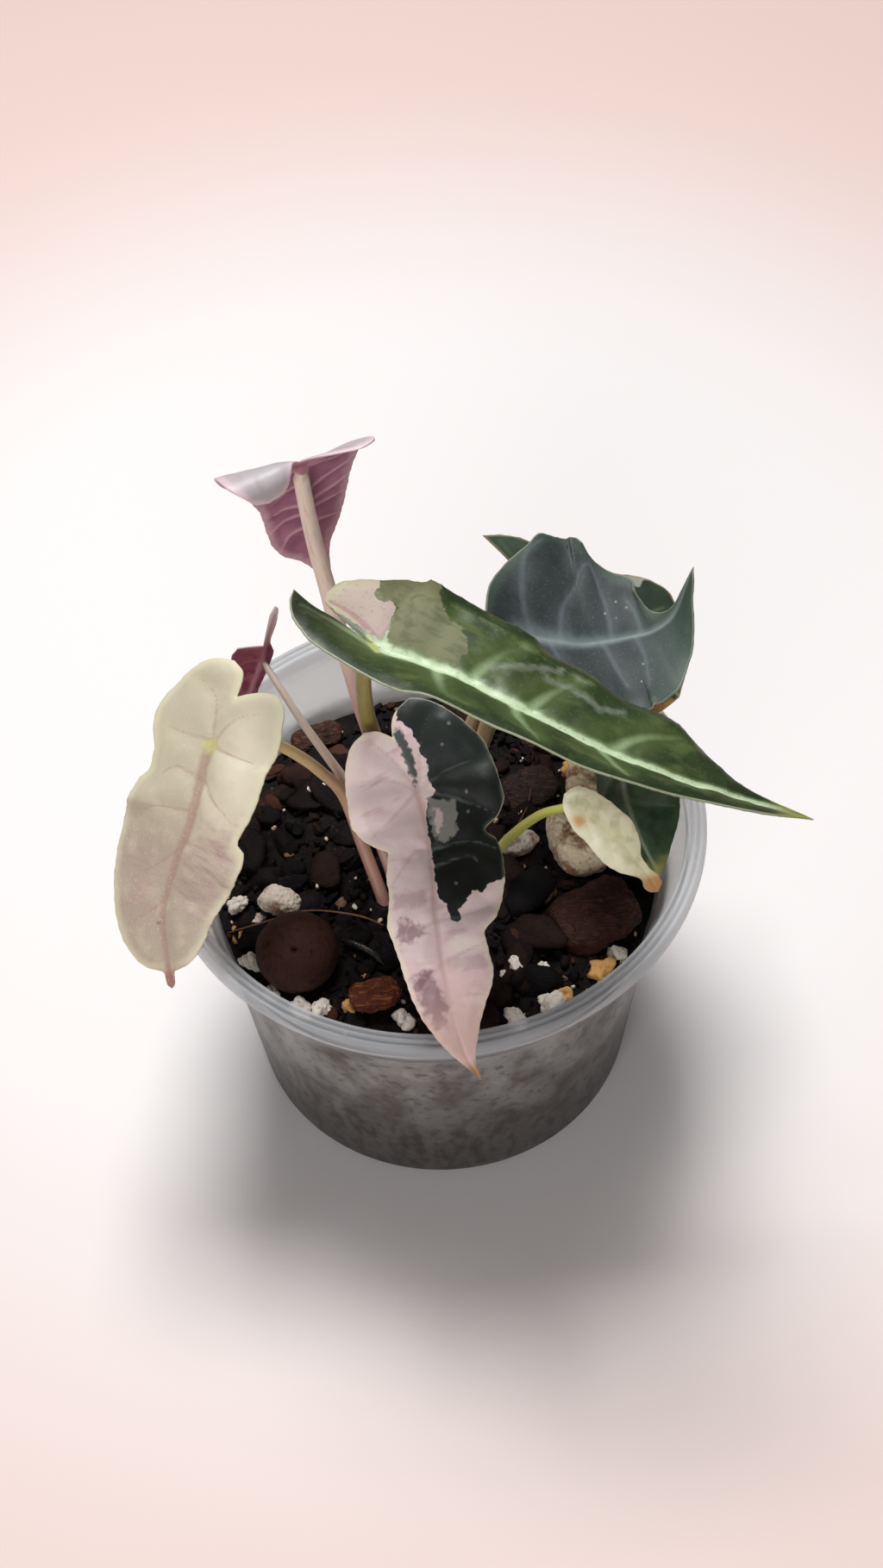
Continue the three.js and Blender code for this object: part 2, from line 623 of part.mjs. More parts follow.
    left: {
      margin: [[-9, 5], [-7, 8], [-2.5, 9], [2.7, 10], [9.1, 12.3], [15.4, 13.2], [20.1, 12.2], [25.1, 9.9],
        [28.9, 6.4], [31.9, 3.2], [34.3, 0]],
      sinus: [[-9, 5], [-6, 2], [-3.5, 0]],
    },
    right: {
      margin: [[-8.1, 4.4], [-6, 7.8], [-0.6, 8.1], [6.2, 6.6], [11.9, 6.4], [16, 7.6], [20, 8], [25, 6.6],
        [30, 3.4], [34.3, 0]],
      sinus: [[-8.1, 4.4], [-5.5, 1.6], [-3.5, 0]],
    },
    stalk: [[36.6, 3.2, 100], [31.5, 6.5, 102], [25.5, 10, 102], [19.5, 12.6, 99.5], [14.8, 13, 94.5],
      [11.8, 11.2, 88], [8.4, 6.6, 76], [5.6, 2.4, 66], [4.8, 1.2, STALK_DEPTH]],
    thin: 1.1,
    thick: 1.4,
    color: 0x2f4a33,
  },
  {
    name: 'leaf_small',
    spine: [[26.6, -7.7, 94.5], [29.6, -10.7, 93.5], [34.1, -14.1, 91.5], [38.2, -17.9, 89.5], [41.8, -22, 87],
      [45.2, -26.5, 84]],
    face: [0.3, -0.45, 0.84],
    lift: [2, 2],
    curl: [-0.3, -0.3],
    wave: { height: 0.3, length: 9 },
    left: {
      margin: [[-3.4, 0], [-3.3, 1.5], [-2.4, 3.7], [-0.4, 4.4], [2.8, 5], [9.4, 5.2], [14.4, 3.2], [17, 1.4],
        [20.2, 0.7], [24.4, 0]],
      sinus: [[-3.4, 0], [-3.4, 0]],
    },
    right: {
      margin: [[-3.4, 0], [-2, 1.9], [0.3, 3.5], [2.7, 4.7], [7.3, 5.2], [11, 5.8], [14, 5.5], [16.6, 4.4],
        [18.8, 2.6], [20.8, 0.8], [24.4, 0]],
      sinus: [[-3.4, 0], [-3.4, 0]],
    },
    stalk: [[29.6, -10.7, 93.5], [26.4, -10.3, 92], [23, -9.6, 89.8], [20, -8.8, 86], [17.5, -8.2, 82],
      [15, -7.7, 77.5], [10.3, -8.9, 70], [6, -9.7, 62], [4.8, -10.5, STALK_DEPTH]],
    thin: 0.9,
    thick: 1.2,
    color: 0xd9d79a,
  },
  {
    name: 'leaf_purple',
    joint: 2,
    spine: [[-18.5, 6, 164], [-20.5, 8.5, 173], [-20.5, 12, 169.5], [-20.5, 15.5, 161], [-20, 17.5, 151],
      [-19, 20, 138], [-17, 21, 122]],
    face: [[0.25, -0.8, 0.5], [-0.05, 0.1, 1], [-0.3, 0.8, 0.4], [-0.3, 0.93, 0], [-0.3, 0.93, 0],
      [-0.3, 0.93, 0], [-0.3, 0.93, 0]],
    lift: [0, 0],
    curl: [0.1, 0.1],
    wave: { height: 0.4, length: 14 },
    left: {
      margin: [[-9.5, 7.5], [-8.5, 10.5], [-6, 13], [-3.5, 14.5], [0, 13.8], [2.6, 12.4], [13.7, 9.2], [22.2, 8.9],
        [28.1, 7.3], [32.3, 3.9], [37.2, 2], [42, 1.8], [48.8, 0]],
      sinus: [[-9.5, 7.5], [-9, 4.5], [-6.5, 2], [-4, 0.5], [-3, 0]],
    },
    right: {
      margin: [[-4.6, 9.5], [-4.2, 12], [-3, 13.5], [-0.5, 13], [4, 10.5], [13.8, 8], [23, 5], [30.5, 2], [37, 1],
        [48.8, 0]],
      sinus: [[-4.6, 9.5], [-4.5, 6], [-4, 2.5], [-3, 0]],
    },
    stalk: [[-20.5, 12, 169.5], [-20.6, 11.8, 166], [-20, 10.9, 158], [-19, 8.7, 151], [-17.7, 6.7, 143.5],
      [-16.2, 4.9, 133], [-14.3, 4.6, 120], [-12.9, 4.9, 109], [-11.6, 5.4, 100], [-9.1, 3.4, 84], [-6.6, -0.6, 70],
      [-5.4, -4.5, STALK_DEPTH]],
    thin: 1.5,
    thick: 2.2,
    color: 0x74405a,
  },
  {
    name: 'leaf_bud',
    spine: [[-33, 21.5, 112], [-34, 21.5, 107], [-36, 22, 101], [-39, 21.5, 93], [-42, 20, 85]],
    face: [-0.3, 1, 0.1],
    lift: [0, 20],
    curl: [0.1, 0.1],
    wave: { height: 0.3, length: 9 },
    left: {
      margin: [[-4.5, 5.5], [-2, 6.8], [5.5, 6.5], [14.5, 4.5], [20, 2.5], [23.6, 0]],
      sinus: [[-4.5, 5.5], [-4.4, 3], [-4, 0]],
    },
    right: {
      margin: [[-15.2, 1.6], [-14, 2.5], [-11, 2.6], [-7.9, 2.2], [-5, 1.6], [0, 3], [4.6, 3], [11.8, 2.6],
        [18.7, 2], [23.6, 0]],
      sinus: [[-15.2, 1.6], [-13, 0.6], [-9, 0.3], [-4, 0]],
    },
    stalk: [[-34, 21.5, 107], [-30.1, 15.3, 104], [-25.9, 10.7, 98], [-19.5, 6.1, 87.5], [-15, 3.2, 80],
      [-11.2, -2.6, 71], [-8.6, -8.2, 62], [-8, -10.2, STALK_DEPTH]],
    thin: 0.7,
    thick: 1.3,
    color: 0x6d3a58,
  },
];

// The finished plant.

const plant = new THREE.Group();

function addPiece(name, geometry, color, roughness) {
  const material = new THREE.MeshStandardMaterial({ color, roughness, metalness: 0 });
  const mesh = new THREE.Mesh(geometry, material);
  mesh.name = name;
  plant.add(mesh);
}

addPiece('pot', potGeometry(), 0xdfe3e6, 0.35);
addPiece('soil', geometryOf(soilSolid()), 0x2d2320, 0.95);
for (const lump of lumps) {
  addPiece(lump.name, lumpGeometry(lump), lump.color, 0.85);
}
for (const leaf of leaves) {
  const whole = solidOf(bladeGeometry(leaf)).add(solidOf(stalkGeometry(leaf)));
  addPiece(leaf.name, geometryOf(whole), leaf.color, 0.4);
}

export default plant;
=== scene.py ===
import math

import bmesh
import bpy
import numpy as np
from mathutils import Matrix, Vector, noise


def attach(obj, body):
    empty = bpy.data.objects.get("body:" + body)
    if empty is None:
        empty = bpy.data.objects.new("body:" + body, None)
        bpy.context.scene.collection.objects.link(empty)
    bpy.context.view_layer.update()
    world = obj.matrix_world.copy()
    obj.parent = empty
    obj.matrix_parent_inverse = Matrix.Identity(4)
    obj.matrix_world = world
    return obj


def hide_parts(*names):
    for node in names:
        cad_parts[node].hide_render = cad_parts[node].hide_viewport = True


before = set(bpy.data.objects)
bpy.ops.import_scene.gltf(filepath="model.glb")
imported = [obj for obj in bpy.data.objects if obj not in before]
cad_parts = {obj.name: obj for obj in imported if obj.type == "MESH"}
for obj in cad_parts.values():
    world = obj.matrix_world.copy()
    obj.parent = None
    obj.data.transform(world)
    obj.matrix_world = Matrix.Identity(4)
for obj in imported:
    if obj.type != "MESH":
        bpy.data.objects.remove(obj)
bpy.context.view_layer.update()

# The view and the light: the photograph looks down on the plant from the front, a little tilted.
# A wide soft lamp hangs behind and above it, so that its shadow falls towards the viewer, a second one
# stands in front, and a pale room fills in.

camera_aim = Vector((2.3, 0, 89))
camera_distance = 427
camera_elevation = math.radians(52)
camera_roll = math.radians(-2.8)
camera_lens = 46.77


def metres(point):
    """A place in millimetres as Blender's metres."""
    return Vector(point) * 0.001


def aimed(backwards, sideways):
    """The turn of a camera or lamp that looks against backwards, with its picture's width along sideways."""
    upwards = backwards.cross(sideways).normalized()
    return Matrix((upwards.cross(backwards), upwards, backwards)).transposed().to_4x4()


backwards = Vector((0, -math.cos(camera_elevation), math.sin(camera_elevation)))
level = Vector((1, 0, 0))
tilted = level * math.cos(camera_roll) + backwards.cross(level) * math.sin(camera_roll)
camera = bpy.data.objects.new("camera", bpy.data.cameras.new("camera"))
camera.data.lens = camera_lens
camera.matrix_world = aimed(backwards, tilted)
camera.matrix_world.translation = metres(camera_aim + backwards * camera_distance)
bpy.context.collection.objects.link(camera)
bpy.context.scene.camera = camera
bpy.context.scene.view_settings.view_transform = "Standard"

for name, place, size, power in [
    ("back_lamp", (-70, 300, 1000), 380, 9.6),
    ("front_lamp", (-250, -1000, 300), 700, 6),
]:
    lamp = bpy.data.objects.new(name, bpy.data.lights.new(name, "AREA"))
    lamp.data.size = size * 0.001
    lamp.data.energy = power
    lamp.matrix_world = aimed((Vector(place) - camera_aim).normalized(), level)
    lamp.matrix_world.translation = metres(place)
    bpy.context.collection.objects.link(lamp)

room = bpy.data.worlds.new("room")
room.use_nodes = True
room.node_tree.nodes["Background"].inputs["Color"].default_value = (1, 0.975, 0.965, 1)
room.node_tree.nodes["Background"].inputs["Strength"].default_value = 0.1
bpy.context.scene.world = room


# The floor: a plain sheet of pale card, white under the plant and faintly pink further out.
# It is only staging, so it rides on nothing.

floor_reach = 2500
floor_white_at = (0, 110, 0)
floor_pink_from = 130
floor_pink_to = 300
mix_first = 6
mix_second = 7
mix_result = 2


def linear(colour):
    """A colour of 0 to 255 as linear light with full alpha."""
    parts = [part / 255 for part in colour]
    return (*[part / 12.92 if part < 0.04 else ((part + 0.055) / 1.055) ** 2.4 for part in parts], 1)


class Wire:
    """One output of a node, for use in sums: each operator on it adds a Math node."""

    def __init__(self, finish, socket):
        self.finish = finish
        self.socket = socket

    def maths(self, operation, first, second=0):
        return self.finish.node("ShaderNodeMath", {"operation": operation}, {0: first, 1: second})

    def __add__(self, other):
        return self.maths("ADD", self, other)

    def __radd__(self, other):
        return self.maths("ADD", other, self)

    def __sub__(self, other):
        return self.maths("SUBTRACT", self, other)

    def __rsub__(self, other):
        return self.maths("SUBTRACT", other, self)

    def __mul__(self, other):
        return self.maths("MULTIPLY", self, other)

    def __rmul__(self, other):
        return self.maths("MULTIPLY", other, self)

    def __abs__(self):
        return self.maths("ABSOLUTE", self)


class Finish:
    """A material under way: a colour that is painted over in layers, then closed with its shader."""

    def __init__(self, name, colour):
        self.material = bpy.data.materials.new(name)
        self.material.use_nodes = True
        self.tree = self.material.node_tree
        self.tree.nodes.clear()
        self.colour = colour
        in_metres = self.node("ShaderNodeTexCoord", output="Object")
        self.place = self.node("ShaderNodeVectorMath", {"operation": "SCALE"}, {0: in_metres, "Scale": 1000})

    def node(self, kind, settings=None, values=None, output=0):
        """Adds a node, with its settings first and then its sockets, and gives one of its outputs."""
        made = self.tree.nodes.new(kind)
        for key, value in (settings or {}).items():
            setattr(made, key, value)
        for key, value in (values or {}).items():
            if isinstance(value, Wire):
                self.tree.links.new(value.socket, made.inputs[key])
            else:
                made.inputs[key].default_value = value
        return Wire(self, made.outputs[output]) if made.outputs else None

    def vectors(self, operation, first, second, output="Value"):
        """A Vector Math node on two vectors."""
        return self.node("ShaderNodeVectorMath", {"operation": operation}, {0: first, 1: second}, output)

    def part_of(self, vector, axis):
        """The X, Y or Z of a vector."""
        return self.node("ShaderNodeSeparateXYZ", {}, {0: vector}, axis)

    def band(self, value, low, high):
        """0 where the value is at low, 1 where it is at high, and smooth between."""
        return self.node("ShaderNodeMapRange", {"interpolation_type": "SMOOTHSTEP"},
                         {"Value": value, "From Min": low, "From Max": high})

    def cloud(self, size, detail=3, place=None, seed=0.0, stretch=(1, 1, 1)):
        """Soft noise from 0 to 1, with patches about size millimetres wide."""
        shift = (seed, 1.7 * seed, 0.3 * seed)
        moved = self.node("ShaderNodeMapping", {},
                          {"Vector": place or self.place, "Scale": stretch, "Location": shift})
        return self.node("ShaderNodeTexNoise", {}, {"Vector": moved, "Scale": 1 / size, "Detail": detail})

    def cells(self, size, place=None, feature="DISTANCE_TO_EDGE"):
        """The distance within cells of about size millimetres, from their edges or their centres."""
        return self.node("ShaderNodeTexVoronoi", {"feature": feature},
                         {"Vector": place or self.place, "Scale": 1 / size})

    def mixed(self, mask, *colours):
        """The first of two colours where the mask is 0 and the second where it is 1."""
        first, second = [linear(colour) if isinstance(colour, tuple) else colour for colour in colours]
        values = {0: mask, mix_first: first, mix_second: second}
        return self.node("ShaderNodeMix", {"data_type": "RGBA"}, values, mix_result)

    def over(self, colour, mask):
        """Paints a colour over what is there, where the mask is 1."""
        self.colour = self.mixed(mask, self.colour, colour)

    def close(self, roughness, relief=None, depth=0.3, more=None):
        """Adds the shader. The relief is a height from 0 to 1, which stands for depth millimetres."""
        sockets = {"Base Color": self.colour, "Roughness": roughness, **(more or {})}
        if relief is not None:
            bump = {"Height": relief, "Distance": depth * 0.001}
            sockets["Normal"] = self.node("ShaderNodeBump", {}, bump)
        shader = self.node("ShaderNodeBsdfPrincipled", {}, sockets)
        self.node("ShaderNodeOutputMaterial", {}, {"Surface": shader})
        return self.material


def new_object(name, points, faces, materials, smooth=True):
    """An object from points in millimetres."""
    mesh = bpy.data.meshes.new(name)
    mesh.from_pydata(np.asarray(points) * 0.001, [], faces)
    mesh.polygons.foreach_set("use_smooth", [smooth] * len(mesh.polygons))
    for material in materials:
        mesh.materials.append(material)
    made = bpy.data.objects.new(name, mesh)
    bpy.context.collection.objects.link(made)
    return made


card = Finish("pale_card", (250, 246, 245))
from_middle = card.vectors("DISTANCE", card.place, floor_white_at)
card.over((245, 218, 211), card.band(from_middle, floor_pink_from, floor_pink_to))
floor_corners = [(x * floor_reach, y * floor_reach, 0) for x, y in ((-1, -1), (1, -1), (1, 1), (-1, 1))]
floor = new_object("floor", floor_corners, [(0, 1, 2, 3)], [card.close(0.9)])


# The cup: thin frosted plastic, moulded in one piece, with a flared shoulder and a lip of three ridges.
# The soil shows through it as a grey blur, and above the soil it is milky.

pot_height = 79
rim_radius = 58.5
shoulder_radius = 49.6
base_radius = 44.3
wall = 1.2
belly_height = 40
flare_from = 60
inner_flare_from = 60.3
cup_sides = 192
lip_bottom = pot_height - 4.4
lip_inner = rim_radius - 4.5
belly_radius = base_radius + 0.64 * (shoulder_radius - base_radius)

outer_profile = [
    (0, 0), (base_radius - 6, 0), (base_radius - 1.9, 0), (base_radius - 0.4, 0.6), (base_radius, 2.4),
    (belly_radius, belly_height), (shoulder_radius, flare_from), (rim_radius - 2.1, lip_bottom - 3),
    (rim_radius - 1.4, lip_bottom), (rim_radius, lip_bottom + 1), (rim_radius, pot_height - 1.1),
]
# The top of the lip, as steps in from the rim and down from the top: three ridges with grooves between.
lip_steps = [(0.8, 0.1), (1.3, 0.1), (1.7, 0.8), (2.2, 0), (2.7, 0), (3.1, 0.8), (3.6, 0.1), (4.2, 0.3)]
lip_profile = [(rim_radius - inwards, pot_height - down) for inwards, down in lip_steps]
inner_profile = [
    (lip_inner, pot_height - 1.1), (lip_inner + 0.2, lip_bottom + 0.4), (lip_inner + 1.3, lip_bottom - 2.6),
    (shoulder_radius - 0.7, inner_flare_from), (belly_radius - wall, belly_height),
    (base_radius - wall, wall + 1.8), (base_radius - wall - 0.5, wall + 0.5),
    (base_radius - wall - 1.5, wall), (base_radius - 8, wall), (0, wall),
]


def rounded(points, times):
    """A line of points with each corner cut off and cut again, so that it turns in small steps."""
    line = np.array(points, float)
    for _ in range(times):
        quarter = 0.75 * line[:-1] + 0.25 * line[1:]
        three = 0.25 * line[:-1] + 0.75 * line[1:]
        line = np.vstack([line[:1], np.stack([quarter, three], 1).reshape(-1, line.shape[1]), line[-1:]])
    return line


def welded(points, faces):
    """Points at one place made one, without the faces that this leaves with fewer than three corners."""
    points = np.asarray(points, float)
    kept, index, new = np.unique(np.round(points, 4), axis=0, return_index=True, return_inverse=True)
    new = new.reshape(-1)
    clean = []
    for face in faces:
        corners = list(dict.fromkeys(int(new[corner]) for corner in face))
        if len(corners) > 2:
            clean.append(corners)
    return points[index], clean, index


def lathed(profile, sides):
    """A closed body turned from a profile of (radius, height) that starts and ends on the axis."""
    profile = np.asarray(profile, float)
    angles = np.arange(sides) * 2 * math.pi / sides
    radius, z = profile.T
    round_x, round_y = np.outer(radius, np.cos(angles)), np.outer(radius, np.sin(angles))
    points = np.stack([round_x, round_y, np.outer(z, np.ones(sides))], -1).reshape(-1, 3)
    faces = []
    for ring in range(len(profile) - 1):
        for side in range(sides):
            after = (side + 1) % sides
            here, there = ring * sides, (ring + 1) * sides
            faces.append((here + side, here + after, there + after, there + side))
    points, faces, _ = welded(points, faces)
    return points, faces


frosted = Finish("frosted_plastic", (240, 241, 240))
height = frosted.part_of(frosted.place, "Z")
stains = frosted.cloud(9, 5, stretch=(1, 1, 0.7))
fine_stains = frosted.cloud(2.2, 3, seed=4)
speckle = frosted.cloud(2.6, 6, seed=8, stretch=(1, 1, 0.5))
across = frosted.vectors("MULTIPLY", frosted.place, (1, 1, 0), "Vector")
axis_distance = frosted.vectors("DISTANCE", across, (0, 0, 0))
skin_normal = frosted.node("ShaderNodeNewGeometry", output="Normal")
outside = frosted.band(frosted.vectors("DOT_PRODUCT", across, skin_normal), -4, 8)
frosted.over((176, 180, 182), outside)
frosted.over((190, 194, 199), frosted.band(height, lip_bottom - 2, lip_bottom + 1) * 0.85)
below = frosted.band(height, 70, 56) * outside
frosted.over((122, 121, 119), below * 0.9)
frosted.over((158, 156, 152), below * frosted.band(speckle, 0.46, 0.66) * 0.5)
# Painted shade: the whole cup darkens towards its base, as the light comes from above and behind.
frosted.over((50, 44, 41), frosted.band(height, 54, 8) * 0.85)
frosted.over((38, 32, 29), below * frosted.band(fine_stains, 0.54, 0.7) * 0.5)
frosted.over((66, 58, 53), below * frosted.band(stains + 0.25 * fine_stains, 0.44, 0.86) * 0.9)
dark_specks = frosted.band(speckle + 0.3 * stains, 0.55, 0.8)
frosted.over((34, 28, 26), frosted.band(height, 46, 14) * dark_specks * 0.85)
lip = frosted.band(height, pot_height - 4, pot_height - 2)
# Painted shade: the two grooves of the lip are drawn in a darker blue-grey, for the shade in them.
for groove_radius in (rim_radius - 1.75, rim_radius - 3.2):
    groove = frosted.band(abs(axis_distance - groove_radius), 0.45, 0.1)
    frosted.over((120, 128, 142), lip * groove * 0.35)
frost_grain = frosted.cloud(0.5, 2)
cup_material = frosted.close(0.34 + 0.12 * fine_stains, relief=frost_grain, depth=0.02, more={
    "Transmission Weight": 0.12, "IOR": 1.4, "Specular IOR Level": 0.6, "Subsurface Weight": 0.5,
    "Subsurface Radius": (1, 1, 1), "Subsurface Scale": 0.0015,
    "Alpha": 1 - 0.5 * frosted.band(height, flare_from, flare_from + 4)})
cup_profile = rounded(outer_profile + lip_profile + inner_profile, 2)
pot = new_object("cup", *lathed(cup_profile, cup_sides), [cup_material])
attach(pot, "root")
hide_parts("pot")


# The soil: a loose mix of bark fines, charcoal and coir that fills the cup, crowned in the middle.
# It is one body with a lumpy top, and the bits that lie on it are pieces of their own.

soil_crown = 64.4
soil_edge = 60.2
soil_gap = 0.35
soil_rings = 90
soil_sides = 240
soil_grit = 0.9
soil_sink = 0.5


def pot_inner_radius(z):
    """The inner radius of the cup's wall at a height below the flare."""
    heights = [wall + 1.8, belly_height, inner_flare_from]
    return np.interp(z, heights, [base_radius - wall, belly_radius - wall, shoulder_radius - 0.7])


def soil_height(x, y):
    """The top of the soil, as the source has it."""
    part = np.minimum(1, np.hypot(x, y) / pot_inner_radius(soil_edge))
    clods = 0.7 * np.sin(0.31 * x + 1.3) * np.sin(0.27 * y + 0.4) + 0.5 * np.sin(0.53 * x - 0.41 * y)
    return soil_crown + (soil_edge - soil_crown) * part ** 2 + clods * (1 - 0.5 * part)


def fractal(points, size, octaves=4, seed=0.0):
    """Noise from about -1 to 1 at each point, with bumps about size wide."""
    shift = Vector((seed, 2.3 * seed, -1.1 * seed))
    return np.array([noise.fractal(Vector(point) / size + shift, 0.9, 2.1, octaves) for point in points])


def soil_profile():
    """The top from the middle to the wall, flat at 0 as yet, then the side down the wall and the underside."""
    rim = pot_inner_radius(soil_edge) - soil_gap
    top = [(rim * part, 0) for part in np.linspace(0, 1, soil_rings)]
    side = [(pot_inner_radius(z) - soil_gap, z) for z in np.linspace(soil_edge - 2, wall + 2.2, 24)]
    return top + side + [(base_radius - wall - 2, wall + soil_gap), (0, wall + soil_gap)]


points, faces = lathed(soil_profile(), soil_sides)
on_top = points[:, 2] == 0
x, y, _ = points[on_top].T
points[on_top, 2] = soil_height(x, y)
grit = fractal(points[on_top], 5) + 0.4 * fractal(points[on_top], 1.6, seed=3)
fade = np.clip((pot_inner_radius(soil_edge) - np.hypot(x, y)) / 3, 0, 1)
points[on_top, 2] += soil_grit * grit * fade - soil_sink

earth = Finish("dark_soil", (17, 12, 10))
earth.over((44, 28, 20), earth.band(earth.cloud(5, 5), 0.54, 0.72))
earth.over((128, 100, 76), earth.band(earth.cloud(1.1, 2, seed=5), 0.7, 0.78) * 0.6)
earth.over((7, 6, 6), earth.band(earth.cloud(7, 4, seed=9), 0.56, 0.68))
soil_material = earth.close(0.78 - 0.2 * earth.cloud(3, 3, seed=2), relief=earth.cloud(0.9, 4, seed=1),
                            depth=0.5, more={"Specular IOR Level": 0.15})
soil = new_object("soil_bed", points, faces, [soil_material])
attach(soil, "root")
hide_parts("soil")


# The clay ball: a fired, expanded clay pellet for drainage, dark red-brown and dull.
# It has a thin fired skin with two small holes in it.

clay_radius = 8.6
clay_at = np.array([-29.8, -25.2, 66])
clay_holes = [((-0.71, -0.16, 0.69), 0.8), ((0, -0.49, 0.87), 0.75)]
clay_hole_depth = 1.6
pit_size = 1.6


def lump(half, turn, at, blocky=2, rough=0.1, seed=1, fineness=6, grain=0.2, grain_size=2.0, pits=0.0):
    """A stone's points and faces: a ball drawn out to three half sizes, dented, grained and turned."""
    ball = bmesh.new()
    bmesh.ops.create_icosphere(ball, subdivisions=fineness, radius=1)
    points = np.array([corner.co for corner in ball.verts])
    faces = [[corner.index for corner in face.verts] for face in ball.faces]
    ball.free()
    x, y, z = points.T
    spread = (np.abs(points) ** blocky).sum(1) ** (-1 / blocky)
    wave = np.sin(3.1 * x + seed) * np.sin(2.7 * y + 2 * seed) + np.sin(3.7 * z - x + 3 * seed)
    outward = points.copy()
    points = points * (spread * (1 + rough * 0.6 * wave))[:, None] * half
    points += outward * (grain * fractal(points, grain_size, 4, seed))[:, None]
    if pits:
        near = np.array([noise.voronoi(Vector(point) / pit_size)[0][0] for point in points])
        points -= outward * (pits * np.clip(1 - near / 0.42, 0, 1) ** 0.6)[:, None]
    spin = np.eye(3)
    for axis, degrees in zip("XYZ", turn):
        spin = spin @ np.array(Matrix.Rotation(math.radians(degrees), 3, axis))
    return points @ spin.T + at, faces


points, faces = lump((8.7, 8.7, 8.5), (0, 0, 0), clay_at, rough=0.02, seed=2, grain=0.12, grain_size=1.4)
hollow = np.zeros(len(points))
for direction, hole_radius in clay_holes:
    centre = clay_at + clay_radius * np.array(direction) / np.linalg.norm(direction)
    from_centre = np.linalg.norm(points - centre, axis=1)
    hollow = np.maximum(hollow, np.clip(1.25 - from_centre / hole_radius, 0, 1))
points -= clay_hole_depth * hollow[:, None] * (points - clay_at) / clay_radius

fired = Finish("fired_clay", (62, 35, 28))
fired.over((68, 42, 35), fired.band(fired.cloud(4, 4), 0.45, 0.72))
fired.over((34, 21, 19), fired.band(fired.cloud(1.6, 3, seed=3), 0.55, 0.75))
fired.over((110, 82, 68), fired.band(fired.cloud(0.8, 2, seed=7), 0.72, 0.78) * 0.5)
clay_material = fired.close(0.72, relief=fired.cloud(0.7, 4), depth=0.25, more={"Specular IOR Level": 0.2})
clay_ball = new_object("clay_pellet", points, faces, [clay_material])
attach(clay_ball, "root")
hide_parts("clay_ball")


# The pumice: light, pitted volcanic stone in cream-white lumps, loose on the soil.
# The two largest lie at the right under the small leaf.

pumice_lumps = [
    ("pumice_front", (-33.6, -12.4, 67), (4.6, 3.1, 3), (0, 0, -24), 2.6, 5, (250, 238, 222)),
    ("pumice_large", (31.5, 1.2, 66), (6, 8.2, 5.2), (8, 0, 12), 2.8, 3, (252, 232, 198)),
    ("pumice_small", (35, 17, 64), (4.9, 6.2, 4.2), (0, 12, -14), 2.6, 8, (248, 224, 186)),
    ("pumice_middle", (18.6, 2.4, 63.6), (4.4, 2.8, 2.2), (0, 8, 28), 2.6, 9, (224, 212, 200)),
]
for node, at, half, turn, blocky, seed, tint in pumice_lumps:
    stone = Finish(node + "_stone", tint)
    stone.over((150, 106, 66), stone.band(stone.cloud(5, 5, seed=seed), 0.5, 0.64) * 0.85)
    # Painted shade: dark dots in a cell pattern, standing for the shade in the pits.
    stone.over((70, 50, 36), stone.band(stone.cells(1.6, feature="F1"), 0.28, 0.08) * 0.4)
    stone.over((255, 246, 228), stone.band(stone.cloud(1.5, 3, seed=seed + 2), 0.56, 0.7) * 0.7)
    points, faces = lump(half, turn, at, blocky, 0.1, seed, grain=0.35, pits=0.5)
    piece = new_object(node + "_lump", points, faces,
                       [stone.close(0.85, relief=stone.cloud(0.6, 4, seed=seed), depth=0.4)])
    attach(piece, "root")
    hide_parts(node)


# The husk and bark: dark red-brown coir chips and orange-brown pine bark, split along their grain.
# The big husk chip at the right has a fibrous, layered face.

chips = [
    ("coir_chip", (33, -18.3, 64.6), (9.6, 7.4, 3.6), (6, -10, 24), 3, 1, (56, 29, 21), (80, 43, 30)),
    ("bark_middle", (22, 17.6, 62.4), (6.8, 5.4, 2.6), (8, -8, 34), 3, 10, (38, 24, 20), (70, 46, 38)),
    ("bark_front", (-13.6, -35.6, 64.2), (5.2, 3.2, 2.4), (14, 8, 12), 3.2, 4,
     (92, 44, 22), (160, 88, 44)),
    ("bark_back_left", (-25.6, 36.4, 61.4), (6.2, 3.2, 2.6), (8, 10, 20), 3.2, 6,
     (60, 36, 25), (100, 64, 44)),
    ("bark_back_right", (26.4, 32.6, 61.6), (5.6, 3.4, 2.6), (-6, 8, -34), 3.2, 7,
     (52, 32, 24), (88, 56, 40)),
]
for node, at, half, turn, blocky, seed, deep, worn in chips:
    wood = Finish(node + "_fibre", deep)
    grain = wood.cloud(1.0, 5, seed=seed, stretch=(0.25, 1.6, 2.4))
    wood.over(worn, wood.band(grain, 0.5, 0.68))
    wood.over((26, 16, 13), wood.band(wood.cloud(2.4, 4, seed=seed + 1), 0.55, 0.7) * 0.8)
    wood.over((140, 96, 68), wood.band(grain, 0.74, 0.84) * 0.3)
    points, faces = lump(half, turn, at, blocky, 0.1, seed, grain=0.55, grain_size=2.6)
    wood_material = wood.close(0.68, relief=grain, depth=0.7, more={"Specular IOR Level": 0.25})
    piece = new_object(node + "_wood", points, faces, [wood_material])
    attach(piece, "root")
    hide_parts(node)


# The loose bits: bark chips, crumbs of coir and grains of perlite that lie scattered over the soil.
# They rest a little sunk in it, and keep clear of the stones and the stalks.

stalk_feet = [(-11.4, -11.2), (-0.6, -12.5), (-4.2, -9.5), (2.8, -5.3), (-0.8, -0.5), (5, 1.6), (6, -9.7),
              (-5.9, -2.8), (-8.6, -8.2)]
clay_clearance = 8.8
stalk_clearance = 2.2
stones = [(clay_at, clay_clearance)]
stones += [(np.array(entry[1]), 0.9 * max(entry[2])) for entry in pumice_lumps + chips]
bit_blockiness = 2.6
chance = np.random.default_rng(11)


